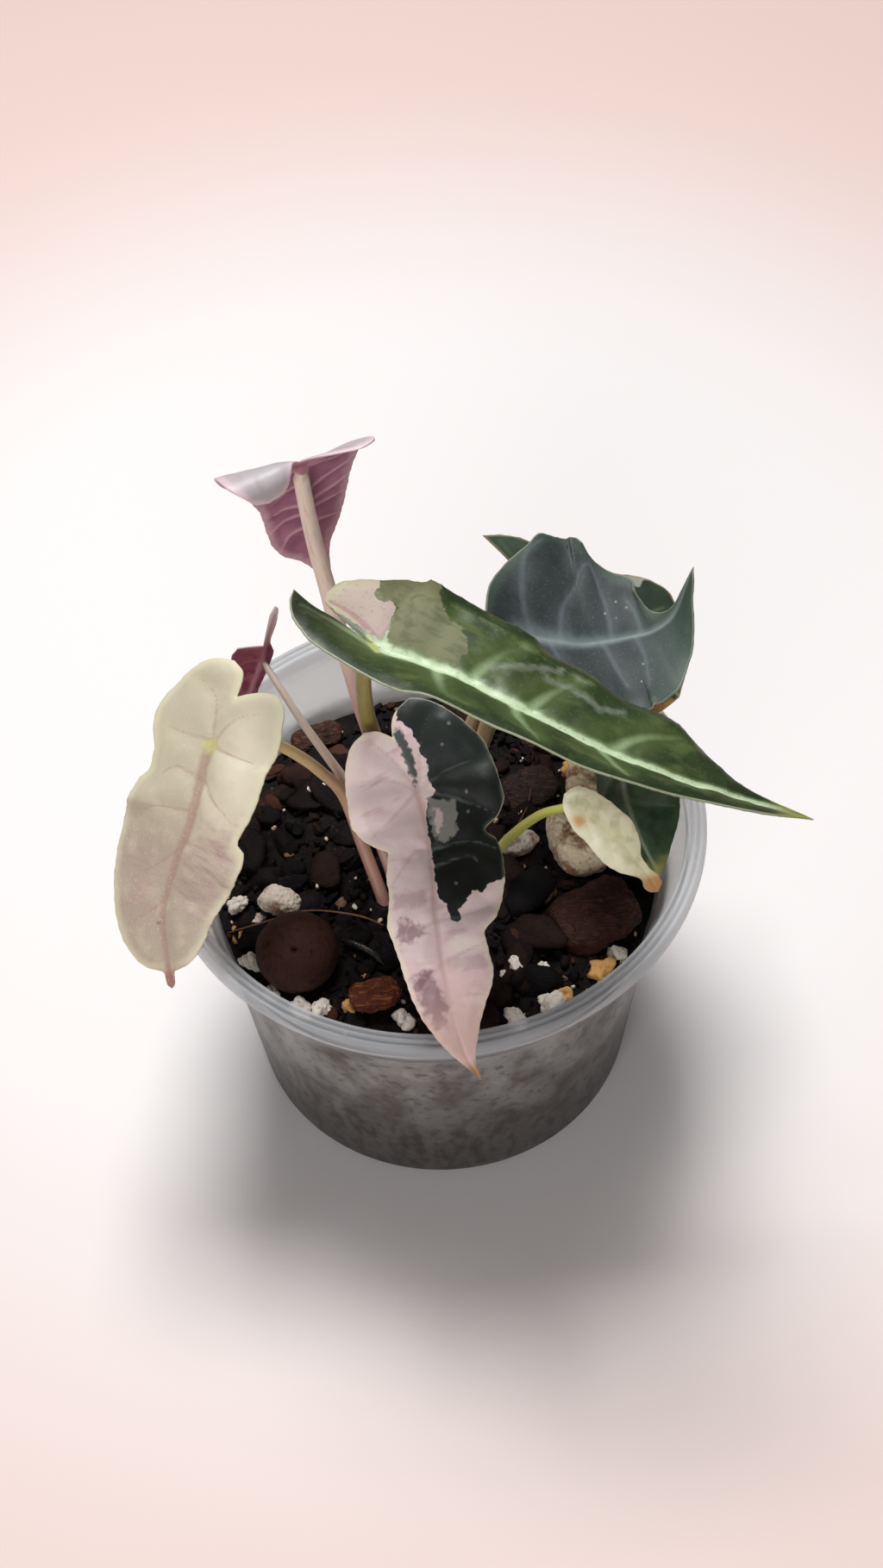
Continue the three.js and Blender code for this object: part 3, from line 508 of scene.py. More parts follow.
def is_clear(x, y, size):
    """Whether a bit of this size lies on open soil."""
    near_stalk = stalk_clearance + 0.6 * size
    by_stone = any(math.hypot(x - at[0], y - at[1]) < reach + 0.5 * size for at, reach in stones)
    by_stalk = any(math.hypot(x - foot_x, y - foot_y) < near_stalk for foot_x, foot_y in stalk_feet)
    by_wall = math.hypot(x, y) > pot_inner_radius(soil_edge) - 0.5 - 0.8 * size
    return not (by_stone or by_stalk or by_wall)


def joined(bodies):
    """The points and faces of several bodies as those of one."""
    points, faces = [], []
    start = 0
    for body_points, body_faces in bodies:
        points.append(body_points)
        faces += [[corner + start for corner in face] for face in body_faces]
        start += len(body_points)
    return np.vstack(points), faces


def scattered(count, smallest, largest, flatness, fineness, rough=0.28):
    """Points, faces and a tone for each point of many small bits lying on the soil."""
    bits, tones = [], []
    for _ in range(count):
        radius = pot_inner_radius(soil_edge) * math.sqrt(chance.random())
        angle = 2 * math.pi * chance.random()
        x, y = radius * math.cos(angle), radius * math.sin(angle)
        size = smallest * (largest / smallest) ** (chance.random() ** 2)
        if is_clear(x, y, size):
            narrow = 0.45 + 0.4 * chance.random()
            half = size * np.array([1, narrow, flatness * (0.6 + 0.8 * chance.random())])
            turn = (50 * (chance.random() - 0.5), 50 * (chance.random() - 0.5), 360 * chance.random())
            at = (x, y, soil_height(x, y) + 0.25 * half[2])
            bits.append(lump(half, turn, at, bit_blockiness, rough, 30 * chance.random(), fineness,
                             0.18 * size, 0.8 * size))
            tones.append(np.full(len(bits[-1][0]), chance.random()))
    return *joined(bits), np.concatenate(tones)


def store(piece, **values):
    """Keeps a number, or a flat place, for each point of a piece, for its material to read."""
    for name, value in values.items():
        kind = "FLOAT" if value.ndim == 1 else "FLOAT_VECTOR"
        layer = piece.data.attributes.new(name, kind, "POINT")
        layer.data.foreach_set("value" if value.ndim == 1 else "vector", value.ravel())


def kept(finish, name, output="Fac"):
    """A value that a piece keeps at its points, for its finish."""
    return finish.node("ShaderNodeAttribute", {"attribute_name": name}, output=output)


crumb = Finish("crumbs", (20, 14, 12))
tone = kept(crumb, "tone")
crumb.over((10, 8, 8), crumb.band(tone, 0.4, 0.45))
crumb.over((36, 22, 17), crumb.band(tone, 0.66, 0.7))
crumb.over((66, 38, 26), crumb.band(tone, 0.9, 0.93))
crumb.over((132, 104, 80), crumb.band(tone, 0.97, 0.98))
crumb.over((12, 9, 8), crumb.band(crumb.cloud(1.4, 4), 0.5, 0.7) * 0.6)
crumb_material = crumb.close(0.75, relief=crumb.cloud(0.5, 3, stretch=(0.4, 1.4, 1.4)), depth=0.3,
                             more={"Specular IOR Level": 0.15})
for name, settings in {
    "bark_bits": dict(count=150, smallest=2.6, largest=7.6, flatness=0.42, fineness=3),
    "coir_crumbs": dict(count=1500, smallest=0.5, largest=1.6, flatness=0.55, fineness=2),
}.items():
    points, faces, tones = scattered(**settings)
    piece = new_object(name, points, faces, [crumb_material], smooth=name == "bark_bits")
    store(piece, tone=tones)
    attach(piece, "root")

# The larger perlite grains by place and size: the clean ones, then those that are stained tan.
white_grains = [
    (-43.2, -9.5, 1.9), (-38.3, -13.9, 1.5), (-40.1, -24.2, 2), (-35.5, -32, 1.8), (-29.4, -36.5, 2.1),
    (-24.9, -36.8, 1.9), (-8.2, -40.2, 2.1), (19.2, -8.2, 1.5), (23.1, -11.4, 1.3), (16.4, -29.4, 1.6),
    (21.5, -29.5, 1.4), (13.5, -32.7, 1.3), (22.7, -38.1, 2.3), (15.1, -41.4, 2.2), (37.8, -26.4, 2),
    (-28.4, 27.9, 1.8), (-25.4, 19.4, 2), (-30.5, 24.5, 1.4), (13.8, 20.4, 1.2), (20, 9.4, 1.2),
]
tan_grains = [(-42.5, -17, 1.7), (-18.5, -36.6, 2), (34.3, -30.6, 2.5), (26, -36, 1.4), (32.1, 22.6, 2.4)]
grains, stain = [], []
for number, (x, y, size) in enumerate(white_grains + tan_grains):
    at = (x, y, soil_height(x, y) + 0.45 * size)
    half = size * np.array([1, 0.8, 0.8])
    grains.append(lump(half, (20, 30, 77 * number), at, 2.4, 0.35, number, 4, 0.42 * size, 0.8 * size))
    stain.append(np.full(len(grains[-1][0]), float(number >= len(white_grains))))
*specks, tones = scattered(230, 0.35, 0.9, 0.8, 1, rough=0.2)
grains.append(specks)
stain.append(0.6 * tones)
perlite = Finish("perlite", (250, 242, 230))
stained = kept(perlite, "stain") * 0.6 + perlite.cloud(1.6, 3)
perlite.over((216, 164, 96), perlite.band(stained, 0.56, 1.0))
perlite.over((132, 104, 80), perlite.band(perlite.cloud(1.0, 4, seed=2), 0.56, 0.74) * 0.6)
perlite_material = perlite.close(0.8, relief=perlite.cloud(0.5, 3), depth=0.3)
perlite_grains = new_object("perlite_grains", *joined(grains), [perlite_material])
store(perlite_grains, stain=np.concatenate(stain))
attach(perlite_grains, "root")


# The dry roots: two thin dead roots that lie in arcs over the soil, and a black strip of charcoal.
# They are stiff and brittle, as thick as a bristle.

def curve_at(points, t):
    """A smooth curve through points at each t from 0 to 1, as the source draws it."""
    points = np.asarray(points, float)
    count = len(points) - 1
    ends = np.vstack([2 * points[:1] - points[1:2], points, 2 * points[-1:] - points[-2:-1]])
    place = np.clip(t, 0, 1) * count
    i = np.minimum(place.astype(int), count - 1)
    part = (place - i)[..., None]
    before, start, end, after = ends[i], ends[i + 1], ends[i + 2], ends[i + 3]
    leaving, arriving = 0.5 * (end - before), 0.5 * (after - start)
    cubic = 2 * start - 2 * end + leaving + arriving
    square = 3 * end - 3 * start - 2 * leaving - arriving
    return ((cubic * part + square) * part + leaving) * part + start


def rod(track, radii, sides):
    """A closed rod along a track, with its own radius at each place, and each point's part and turn."""
    track = np.asarray(track, float)
    tangents = np.gradient(track, axis=0)
    tangents /= np.linalg.norm(tangents, axis=1, keepdims=True)
    across = np.cross(tangents[0], (0.3, 1, 0.2))
    points, parts, turns_round = [], [], []
    angles = np.arange(sides) * 2 * math.pi / sides
    for i, (centre, tangent) in enumerate(zip(track, tangents)):
        across = across - tangent * across.dot(tangent)
        across /= np.linalg.norm(across)
        other = np.cross(tangent, across)
        ring = centre + radii[i] * (np.outer(np.cos(angles), across) + np.outer(np.sin(angles), other))
        points += list(ring)
        parts += [i / (len(track) - 1)] * sides
        turns_round += list(angles)
    faces = []
    last = (len(track) - 1) * sides
    for here in range(0, last, sides):
        for side in range(sides):
            after = (side + 1) % sides
            faces.append((here + side, here + after, here + sides + after, here + sides + side))
    faces.append(tuple(range(sides))[::-1])
    faces.append(tuple(range(last, last + sides)))
    return np.array(points), faces, np.array(parts), np.array(turns_round)


root_sides = 10
root_places = np.linspace(0, 1, 60)
dry_roots = [
    ("dry_root_long", 0.22, 0.6, (128, 92, 58),
     [(-45.3, -16.5, 61.8), (-37, -17.4, 66.5), (-29, -16.2, 68), (-23.4, -15.7, 67), (-16, -16.6, 65.6),
      (-11, -18, 63.5)]),
    ("dry_root_red", 0.22, 0.6, (96, 44, 32),
     [(22.5, 20.5, 64), (21.6, 12.5, 65.5), (19.5, 7, 66.2), (16.5, 2.5, 65.6), (12.5, -1.5, 63.5)]),
    ("charcoal_strip", 0.75, 0.35, (20, 18, 18),
     [(-20.5, -21.6, 64.3), (-17.5, -23.6, 65.6), (-14, -25.8, 65.4), (-11.4, -28.2, 63.8)]),
]
for name, thick, dullness, colour, bends in dry_roots:
    tapered = thick * (1 - 0.5 * (2 * root_places - 1) ** 4)
    points, faces, _, _ = rod(curve_at(bends, root_places), tapered, root_sides)
    skin = Finish(name + "_skin", colour)
    skin.over((60, 42, 30), skin.band(skin.cloud(2, 3), 0.5, 0.7) * 0.6)
    piece = new_object(name, points, faces, [skin.close(dullness, relief=skin.cloud(0.6, 3), depth=0.2)])
    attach(piece, "root")


# The cream leaf: a shield-shaped blade with almost no green in it, which hangs over the rim at the left.
# Like every leaf here it is one growth with its stalk, puckered between veins that are sunk on top.

leaf_columns = 22
leaf_row = 0.5
border_places = 90
vein_places = 14
blade_thickness = 0.6
edge_fade = 2.5
tip_packing = 1.35
nibble_depth = 0.1
pucker_reach = 2.2
rib_groove = 0.16
vein_groove = 0.06
rib_keel = 0.8
vein_keel = 0.22
far_off = 99.0
stalk_sides = 20
places_per_bend = 14
stalk_neck = 2.5
stalk_foot = 22


def smooth_line(points):
    """A smooth line w(s) through points with rising s, which never passes beyond its points."""
    s, w = np.array(points, float).T
    steps = np.diff(s)
    slopes = np.diff(w) / steps
    tangents = np.concatenate([slopes[:1], np.zeros(len(slopes) - 1), slopes[-1:]])
    for i in range(1, len(slopes)):
        if slopes[i - 1] * slopes[i] > 0:
            before = 2 * steps[i] + steps[i - 1]
            after = steps[i] + 2 * steps[i - 1]
            tangents[i] = (before + after) / (before / slopes[i - 1] + after / slopes[i])

    def line(at):
        at = np.clip(at, s[0], s[-1])
        i = np.clip(np.searchsorted(s, at, side="right") - 1, 0, len(steps) - 1)
        t = (at - s[i]) / steps[i]
        rise, fall = tangents[i] * steps[i], tangents[i + 1] * steps[i]
        cubic = 2 * w[i] - 2 * w[i + 1] + rise + fall
        square = 3 * w[i + 1] - 3 * w[i] - 2 * rise - fall
        return ((cubic * t + square) * t + rise) * t + w[i]

    return line


def lengths_along(track):
    """How far along a track each of its points is."""
    return np.concatenate([[0], np.cumsum(np.linalg.norm(np.diff(track, axis=0), axis=1))])


def blade_surface(spine, joint, face, lift, curl, wave):
    """A blade's middle surface, as the source bends it: s runs along the midrib and r across it."""
    count = len(spine)
    samples = np.linspace(0, 1, 401)
    lengths = lengths_along(curve_at(spine, samples))
    joint_length = np.interp(joint / (count - 1), samples, lengths)
    along = np.linspace(0, 1, count)

    def every(rows):
        return np.array(rows if np.ndim(rows) == 2 else [rows] * count, float)

    def between(rows, t, column):
        return np.interp(t, along, every(rows)[:, column])

    def at(s, r):
        length = s + joint_length
        t = np.interp(length, lengths, samples)
        tangent = curve_at(spine, t + 1e-4) - curve_at(spine, t - 1e-4)
        tangent /= np.linalg.norm(tangent, axis=-1, keepdims=True)
        beyond = length - np.clip(length, 0, lengths[-1])
        facing = np.stack([between(face, t, column) for column in range(3)], -1)
        across = np.cross(tangent, facing)
        across /= np.linalg.norm(across, axis=-1, keepdims=True)
        up = np.cross(across, tangent)
        width = np.abs(r)
        start = np.radians(np.where(r > 0, between(lift, t, 1), between(lift, t, 0)))
        turn = np.radians(np.where(r > 0, between(curl, t, 1), between(curl, t, 0)))
        sideways = (np.sin(start + turn * width) - np.sin(start)) / turn
        ripple = wave[0] * np.sin(2 * math.pi * s / wave[1] + 2 * (r > 0)) * (width / 14) ** 2
        upward = (np.cos(start) - np.cos(start + turn * width)) / turn + ripple
        sideways = across * (np.sign(r) * sideways)[..., None]
        return curve_at(spine, t) + tangent * beyond[..., None] + sideways + up * upward[..., None]

    return at


def normals_of(surface, s, r):
    """The upward direction of a blade's middle surface at flat places."""
    forward = surface(s + 0.1, r) - surface(s - 0.1, r)
    rightward = surface(s, r + 0.6) - surface(s, r - 0.6)
    normal = np.cross(rightward, forward)
    return normal / np.linalg.norm(normal, axis=-1, keepdims=True)


def away_from(lines, s, r, widths=(1, 1)):
    """The distance of each flat place from the nearest of some lines, in the line's own width there."""
    nearest = np.full(s.shape, far_off)
    for line in lines:
        line = np.asarray(line, float)
        for i, (start, end) in enumerate(zip(line[:-1], line[1:])):
            step = end - start
            s_off, r_off = s - start[0], r - start[1]
            part = np.clip((s_off * step[0] + r_off * step[1]) / max(step @ step, 1e-9), 0, 1)
            gap = np.hypot(s_off - part * step[0], r_off - part * step[1])
            width = np.interp((i + part) / (len(line) - 1), [0, 1], widths)
            nearest = np.minimum(nearest, gap / width)
    return nearest


def within(outline, s, r):
    """How far inside a closed outline each flat place is, in millimetres, and less than 0 outside it."""
    closed = np.array(outline + outline[:1], float)
    inside = np.zeros(s.shape, bool)
    for (s1, r1), (s2, r2) in zip(closed[:-1], closed[1:]):
        if r1 != r2:
            crosses = (r1 > r) != (r2 > r)
            inside ^= crosses & (s < s1 + (r - r1) * (s2 - s1) / (r2 - r1))
    return np.where(inside, 1, -1) * away_from([closed], s, r)


def half_grid(half, sign, notch):
    """One half's flat places, in rows from the lobe's end to the tip, each row from the inside out."""
    margin = smooth_line(half["margin"])
    tip = half["margin"][-1][0]
    start = half["sinus"][0][0] if half["sinus"] else notch
    body = np.linspace(0, 1, int((tip - notch) / leaf_row))
    packed = 1 - (1 - body) ** tip_packing if half["sinus"] else (1 - np.cos(math.pi * body)) / 2
    body = notch + (tip - notch) * packed
    inner = np.zeros(len(body))
    lobe_rows = 0
    if start < notch:
        lobe_rows = int((notch - start) / leaf_row) + 6
        lobe = start + (notch - start) * (1 - np.cos(math.pi / 2 * np.linspace(0, 1, lobe_rows + 1)))[:-1]
        inner = np.concatenate([smooth_line(half["sinus"])(lobe), inner])
        body = np.concatenate([lobe, body])
    outer = np.maximum(margin(body), inner)
    nibble = nibble_depth * np.sin(2.3 * body + sign) * np.sin(0.9 * body) * np.clip(outer / 4, 0, 1)
    part = np.linspace(0, 1, leaf_columns + 1)
    part = 0.4 * part + 0.6 * (1 - np.cos(math.pi * part)) / 2
    r = sign * (inner[:, None] + (outer + nibble - inner)[:, None] * part)
    r[outer <= inner] = sign * inner[outer <= inner][:, None]
    return np.repeat(body[:, None], leaf_columns + 1, 1), r, lobe_rows


def grow_leaf(name, materials, spine, face, lift, curl, wave, left, right, stalk, thin, thick, rib, veins,
              pucker, seed, patches=None, joint=1):
    """The blade and the stalk of one leaf as an object.

    Spine is the line of the midrib, and stalk is the line from the spine's joint down to the soil. Face is
    the way the top looks. Lift and curl are the degrees by which each half rises at the midrib and then
    bends per millimetre. Wave is the height and the length of the ripples along the margin. Each half has
    its margin and its sinus as widths along the midrib. Veins and patches are flat lines of (s, r) along
    and across the midrib, with r below 0 on the left.
    """
    surface = blade_surface(spine, joint, face, lift, curl, wave)
    notch = left["sinus"][-1][0] if left["sinus"] else left["margin"][0][0]
    tip = left["margin"][-1][0]
    vein_steps = np.linspace(0, 1, vein_places)
    veins = [curve_at([(*place, 0) for place in vein], vein_steps)[:, :2] for vein in veins]
    border, flats, faces, rims = [], [], [], []
    start = 0
    for half, sign in ((left, -1), (right, 1)):
        for line in filter(None, (half["margin"], half["sinus"])):
            s = np.linspace(line[0][0], line[-1][0], border_places)
            border.append(np.stack([s, sign * smooth_line(line)(s)], -1))
        s, r, lobe_rows = half_grid(half, sign, notch)
        rows, columns = s.shape
        index = start + np.arange(rows * columns).reshape(rows, columns)
        start += rows * columns
        flats.append(np.stack([s.ravel(), r.ravel()], -1))
        squares = np.stack([index[:-1, :-1], index[1:, :-1], index[1:, 1:], index[:-1, 1:]], -1)
        faces += squares.reshape(-1, 4).tolist()
        rims += list(zip(index[:-1, -1].tolist(), index[1:, -1].tolist()))
        rims += list(zip(index[:lobe_rows, 0].tolist(), index[1:lobe_rows + 1, 0].tolist()))
    flats = np.vstack(flats)
    s, r = flats.T
    rib_width = np.interp(s, [0, tip], rib)
    from_rib = np.hypot(r, np.minimum(s, 0))
    from_vein = away_from(veins, s, r)
    edge = away_from(border, s, r)
    normal = normals_of(surface, s, r)
    inner_part = np.clip(edge / edge_fade, 0, 1)
    nearest = np.minimum(from_vein, from_rib)
    flat_places = np.stack([s, r, 0 * s], -1)
    bulge = pucker * (1 - np.exp(-(nearest / pucker_reach) ** 2)) * inner_part
    cockle = 0.6 * pucker * fractal(flat_places, 7, 3, seed) * inner_part
    groove = vein_groove * np.exp(-(from_vein / 0.5) ** 2) * inner_part
    groove += rib_groove * np.exp(-(from_rib / rib_width) ** 2)
    keel = rib_keel * rib_width * np.exp(-(from_rib / (0.9 * rib_width)) ** 4)
    keel *= np.clip((tip - s) / 12, 0, 1)
    under_vein = vein_keel * np.exp(-(from_vein / 0.45) ** 2) * inner_part
    half_thick = 0.5 * blade_thickness * (0.45 + 0.55 * np.clip(edge / 1.2, 0, 1) ** 0.5)
    middle = surface(s, r)
    top = middle + normal * (half_thick + bulge + cockle - groove)[:, None]
    under = middle + normal * (bulge + cockle - groove - half_thick - keel - under_vein)[:, None]
    count = len(flats)
    faces = faces + [[corner + count for corner in face[::-1]] for face in faces]
    faces += [(a, b, b + count, a + count) for a, b in rims]
    points, faces, index = welded(np.vstack([top, under]), faces)
    source = index % count
    is_top = (index < count).astype(float)

    bends = [spine[joint], *stalk]
    track = curve_at(bends, np.linspace(0, 1, len(bends) * places_per_bend))
    down = lengths_along(track)
    stations = [0, stalk_neck, down[-1] - stalk_foot, down[-1]]
    radii = np.interp(down, stations, [0.35 * thin, thin, thick, thick])
    rod_points, rod_faces, part, turn = rod(track, radii, stalk_sides)
    made = new_object(name, *joined([(points, faces), (rod_points, rod_faces)]), materials)
    made.data.polygons.foreach_set("material_index", [0] * len(faces) + [1] * len(rod_faces))
    zero = np.zeros(len(rod_points))
    rod_flat = np.stack([part * down[-1], turn * thick, zero], -1)
    store(made, flat=np.vstack([flat_places[source], rod_flat]), top=np.concatenate([is_top, zero]),
          along=np.concatenate([is_top, part]))
    layers = {"rib": from_rib / rib_width, "vein": away_from(veins, s, r, (1.0, 0.35)), "edge": edge}
    layers.update((patch, within(outline, s, r)) for patch, outline in (patches or {}).items())
    for layer, values in layers.items():
        store(made, **{layer: np.concatenate([values[source], zero])})
    shape = bmesh.new()
    shape.from_mesh(made.data)
    bmesh.ops.recalc_face_normals(shape, faces=shape.faces)
    shape.to_mesh(made.data)
    shape.free()
    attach(made, "root")
    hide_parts(name.removesuffix("_growth"))
    return made


class LeafPaint(Finish):
    """A blade's colours, painted by the flat places that its leaf keeps."""

    def __init__(self, name, colour):
        super().__init__(name, colour)
        self.flat = kept(self, "flat", "Vector")
        self.top = kept(self, "top")
        self.edge = kept(self, "edge")
        self.s = self.part_of(self.flat, "X")
        self.r = self.part_of(self.flat, "Y")
        self.fuzz = self.cloud(1.6, 4, self.flat) - 0.5

    def blotch(self, size, low, high, seed=0.0, stretch=(1, 1, 1)):
        """Blotches, which start where the noise passes low and are full at high."""
        return self.band(self.cloud(size, 3, self.flat, seed, stretch), low, high)

    def mottle(self, colour, strength, *blotches):
        """Paints blotches, which are given as for the method above."""
        self.over(colour, self.blotch(*blotches) * strength)

    def rim(self, colour, wide, full, strength, ragged=1.0):
        """Paints the margin, from nothing wide millimetres inside it to its full strength at full."""
        self.over(colour, self.band(self.edge + ragged * self.fuzz, wide, full) * strength)

    def patch(self, name, soft, jagged):
        """The mask of a patch, whose edge is as soft and as jagged as this in millimetres."""
        return self.band(kept(self, name) + jagged * 2 * self.fuzz, -soft, soft)

    def along(self, colour, start, full, strength=1.0, ragged=0.0):
        """Paints what lies past a place along the midrib, from nothing at start to its strength at full."""
        self.over(colour, self.band(self.s + ragged * self.fuzz, start, full) * strength)

    def stain(self, colour, name, soft, jagged, strength=1.0):
        """Paints a patch."""
        self.over(colour, self.patch(name, soft, jagged) * strength)

    def midrib(self, colour, wide, soft, strength):
        """Paints the midrib, with the width and softness of its edge in its own widths."""
        line = self.band(kept(self, "rib") + 0.8 * self.fuzz, wide + soft, wide - soft)
        self.over(colour, line * strength)

    def veins(self, colour, wide, soft, strength):
        """Paints the side veins, with the width and softness of their edges in their own widths."""
        line = self.band(kept(self, "vein") + 0.6 * self.fuzz, wide + soft, max(wide - soft, 0))
        self.over(colour, line * strength)

    def spot(self, s, r, radius, soft):
        """The mask of a round spot at a flat place."""
        away = self.vectors("DISTANCE", self.flat, (s, r, 0))
        return self.band(away + self.fuzz, radius + soft, radius - soft)

    def underside(self, colour, vein_colour, vein_strength=0.6):
        """Paints the underside, with its raised veins in their own colour."""
        bottom = 1 - self.top
        ribbed = self.band(kept(self, "rib"), 1.2, 0.8)
        lined = self.band(kept(self, "vein"), 0.9, 0.3) * vein_strength
        self.over(colour, bottom)
        self.over(vein_colour, bottom * ribbed.maths("MAXIMUM", ribbed, lined))

    def finish_leaf(self, dullness, subsurface, relief=0.03):
        """Closes the paint with the fine net of small veins and the grain of the skin as its relief."""
        net = self.band(self.cells(1.5, self.flat), 0.0, 0.3)
        skin = self.cloud(0.35, 2, self.flat)
        glow = {"Subsurface Weight": subsurface, "Subsurface Scale": 0.0012,
                "Subsurface Radius": (1.0, 0.7, 0.5)}
        return self.close(dullness + 0.1 * self.fuzz, relief=0.3 * net + 0.5 * skin, depth=relief, more=glow)


def stalk_paint(name, upper, lower, streak):
    """A stalk's finish, from its colour at the blade to its colour in the soil, streaked lengthwise."""
    paint = Finish(name, upper)
    flat = kept(paint, "flat", "Vector")
    paint.over(lower, paint.band(kept(paint, "along"), 0.25, 0.85))
    paint.over(streak, paint.band(paint.cloud(0.7, 3, flat, stretch=(0.12, 1, 1)), 0.52, 0.72) * 0.55)
    skin = paint.cloud(0.5, 2, flat, stretch=(0.2, 1, 1))
    glow = {"Subsurface Weight": 0.12, "Subsurface Scale": 0.0015}
    return paint.close(0.42, relief=skin, depth=0.05, more=glow)


cream_stalk = stalk_paint("cream_stalk", (206, 186, 132), (186, 140, 128), (176, 140, 104))
cream = LeafPaint("cream_blade", (190, 181, 158))
# Painted light and shade: the left half of the blade is made lighter than the right, as the light falls on it.
cream.over((230, 220, 197), cream.band(cream.r + 3 * cream.fuzz, 1, -9) * 0.85)
# Painted light: the lobes are made lighter.
cream.over((202, 194, 168), cream.band(cream.s + 0.5 * cream.r, -4, -16) * 0.7)
# Darker taupe from the middle towards the tip: partly the leaf's own tone and partly painted shade.
cream.along((168, 152, 136), 4, 28, 0.85)
cream.mottle((204, 194, 170), 0.45, 6, 0.5, 0.68)
streaks = cream.blotch(1.6, 0.42, 0.66, 5, (1.5, 0.35, 1))
cream.over((168, 142, 138), cream.patch("mauve_left", 3.5, 2.5) * (0.25 + 0.6 * streaks))
cream.over((170, 146, 138), cream.patch("mauve_right", 3.5, 2.5) * (0.2 + 0.5 * streaks))
cream.rim((228, 224, 190), 2.2, 0.2, 0.5)
cream.veins((168, 136, 130), 0.3, 0.4, 0.6)
cream.midrib((164, 134, 120), 0.95, 0.5, 0.75)
cream.over((190, 184, 126), cream.spot(0, 0, 1.6, 0.9))
cream.over((112, 74, 44), cream.spot(37.1, 0.9, 0.25, 0.4))
cream.along((150, 108, 100), 45, 48)
cream.mottle((214, 202, 178), 0.4, 0.45, 0.56, 0.7, 3)
cream.underside((222, 206, 184), (206, 172, 158))
cream_leaf = grow_leaf(
    "leaf_cream_growth", [cream.finish_leaf(0.5, 0.2), cream_stalk],
    spine=[(-33.5, 6.5, 122), (-43, -5.5, 112), (-47.5, -17.5, 104), (-51.5, -23.5, 97),
           (-54.5, -31.5, 90), (-53.5, -42, 82)],
    face=(-0.35, -0.45, 0.82), lift=(4, 4), curl=(-0.5, -0.5), wave=(0.5, 15),
    left={
        "margin": [(-15.2, 7.5), (-14.5, 9.5), (-12.5, 11.5), (-4, 14), (3, 14), (12.5, 12.6),
                   (15.6, 11.5), (16.4, 11.8), (17, 13.6), (18.6, 14.4), (29, 13), (40, 9.8), (44.5, 6.6),
                   (46.4, 3.6), (47, 1.1), (49.4, 0.8), (50.3, 0)],
        "sinus": [(-15.2, 7.5), (-14.5, 5), (-13, 2.5), (-11, 0)],
    },
    right={
        "margin": [(-17, 4.5), (-16, 7.5), (-12, 11.5), (-7, 13.5), (-2.5, 14.5), (1, 13.5), (3.5, 12),
                   (6.5, 12), (9, 14), (14, 15), (19.5, 15.5), (24.5, 14), (35.5, 11), (41.5, 8),
                   (45.4, 4.6), (47, 1.1), (49.4, 0.8), (50.3, 0)],
        "sinus": [(-17, 4.5), (-16, 1.7), (-13.5, 0.5), (-11, 0)],
    },
    stalk=[(-36.5, -4.6, 110.8), (-30.3, -3.8, 109), (-26.6, -2.5, 104), (-22.9, -1, 97),
           (-18.6, 1.5, 85), (-15.1, -3.6, 73), (-11.4, -11.2, 63), (-9.6, -14, 50)],
    thin=1.1, thick=1.4, rib=(1.25, 0.5),
    veins=[
        [(-1, -0.5), (-7, -2.5), (-11.5, -8)], [(0, -1), (0.5, -7.5), (0, -12)],
        [(7, -1), (11, -4), (14, -9)], [(20, 0), (19, -5.5), (18.5, -13)],
        [(29.5, -1.5), (31, -6.5), (30.5, -11.5)], [(-1, 0), (-8.5, 3.5), (-10.5, 9)],
        [(-1, 0), (-0.5, 5.5), (-0.5, 12)], [(7, 0), (5.5, 6), (9, 10.5)],
        [(13.5, 0.5), (15, 9), (21.5, 12)], [(21.5, 0), (26, 3.5), (31, 9)],
        [(31.5, 0), (34.5, 2), (37.5, 7.5)],
    ],
    patches={
        "mauve_left": [(14.5, -12.5), (16, -4), (23.5, -2), (35, -4.5), (33.5, -10), (18.5, -13)],
        "mauve_right": [(24.5, 11.5), (22, 6.5), (27, 2), (38.5, 4), (34.5, 9)],
    },
    pucker=0.55, seed=2,
)


# The pink leaf: a narrow shield whose right lobe is blush pink and whose left lobe is black-green.
# The two meet at the midrib in a ragged line, and the pink half narrows to a dry brown tip.

pink_stalk = stalk_paint("pink_stalk", (206, 170, 160), (170, 110, 106), (150, 100, 96))
pink = LeafPaint("pink_blade", (238, 214, 214))
pink.along((216, 184, 181), 18, 46, 0.7)
pink.mottle((236, 220, 214), 0.8, 5, 0.5, 0.68)
pink.mottle((190, 154, 152), 0.5, 4, 0.56, 0.74, 4, (1.6, 0.6, 1))
# Painted shade in two bands across the blade where it puckers, and a painted highlight on the swell beside the
# second band.
pink.stain((186, 152, 152), "left_fold_shade", 0.9, 1.6, 0.6)
pink.stain((186, 154, 152), "right_fold_shade", 0.9, 1.6, 0.5)
pink.stain((238, 226, 214), "right_swell_highlight", 0.9, 1.0, 0.6)
pink.rim((236, 222, 202), 1.3, 0.3, 0.8, 2.2)
pink.stain((136, 100, 112), "feather", 1.0, 2.6, 0.9)
pink.stain((152, 118, 124), "mottle", 0.8, 3, 0.8)
pink.veins((198, 164, 162), 0.4, 0.5, 0.45)
pink.along((182, 150, 142), 34, 52, 0.85, 5)
pink.midrib((206, 172, 166), 0.8, 0.6, 0.7)
dark_part = pink.patch("dark", 0.12, 0.9)
dark_veins = pink.band(kept(pink, "vein") + 0.6 * pink.fuzz, 0.6, 0.1)
slate = pink.mixed(dark_veins * 0.45, (12, 17, 14), (112, 120, 114))
slate = pink.mixed(pink.band(pink.s + 3 * pink.fuzz, 6, -4) * 0.45, slate, (52, 60, 58))
pink.over(slate, dark_part)
pink.over((64, 80, 60), dark_part * pink.band(pink.edge, 0.9, 0.3) * pink.blotch(3, 0.4, 0.6))
pink.stain((136, 134, 128), "grey", 0.3, 1.4, 0.95)
pink.stain((206, 184, 180), "island", 0.3, 1.6, 0.9)
pink.stain((84, 92, 88), "sliver", 0.3, 1.4)
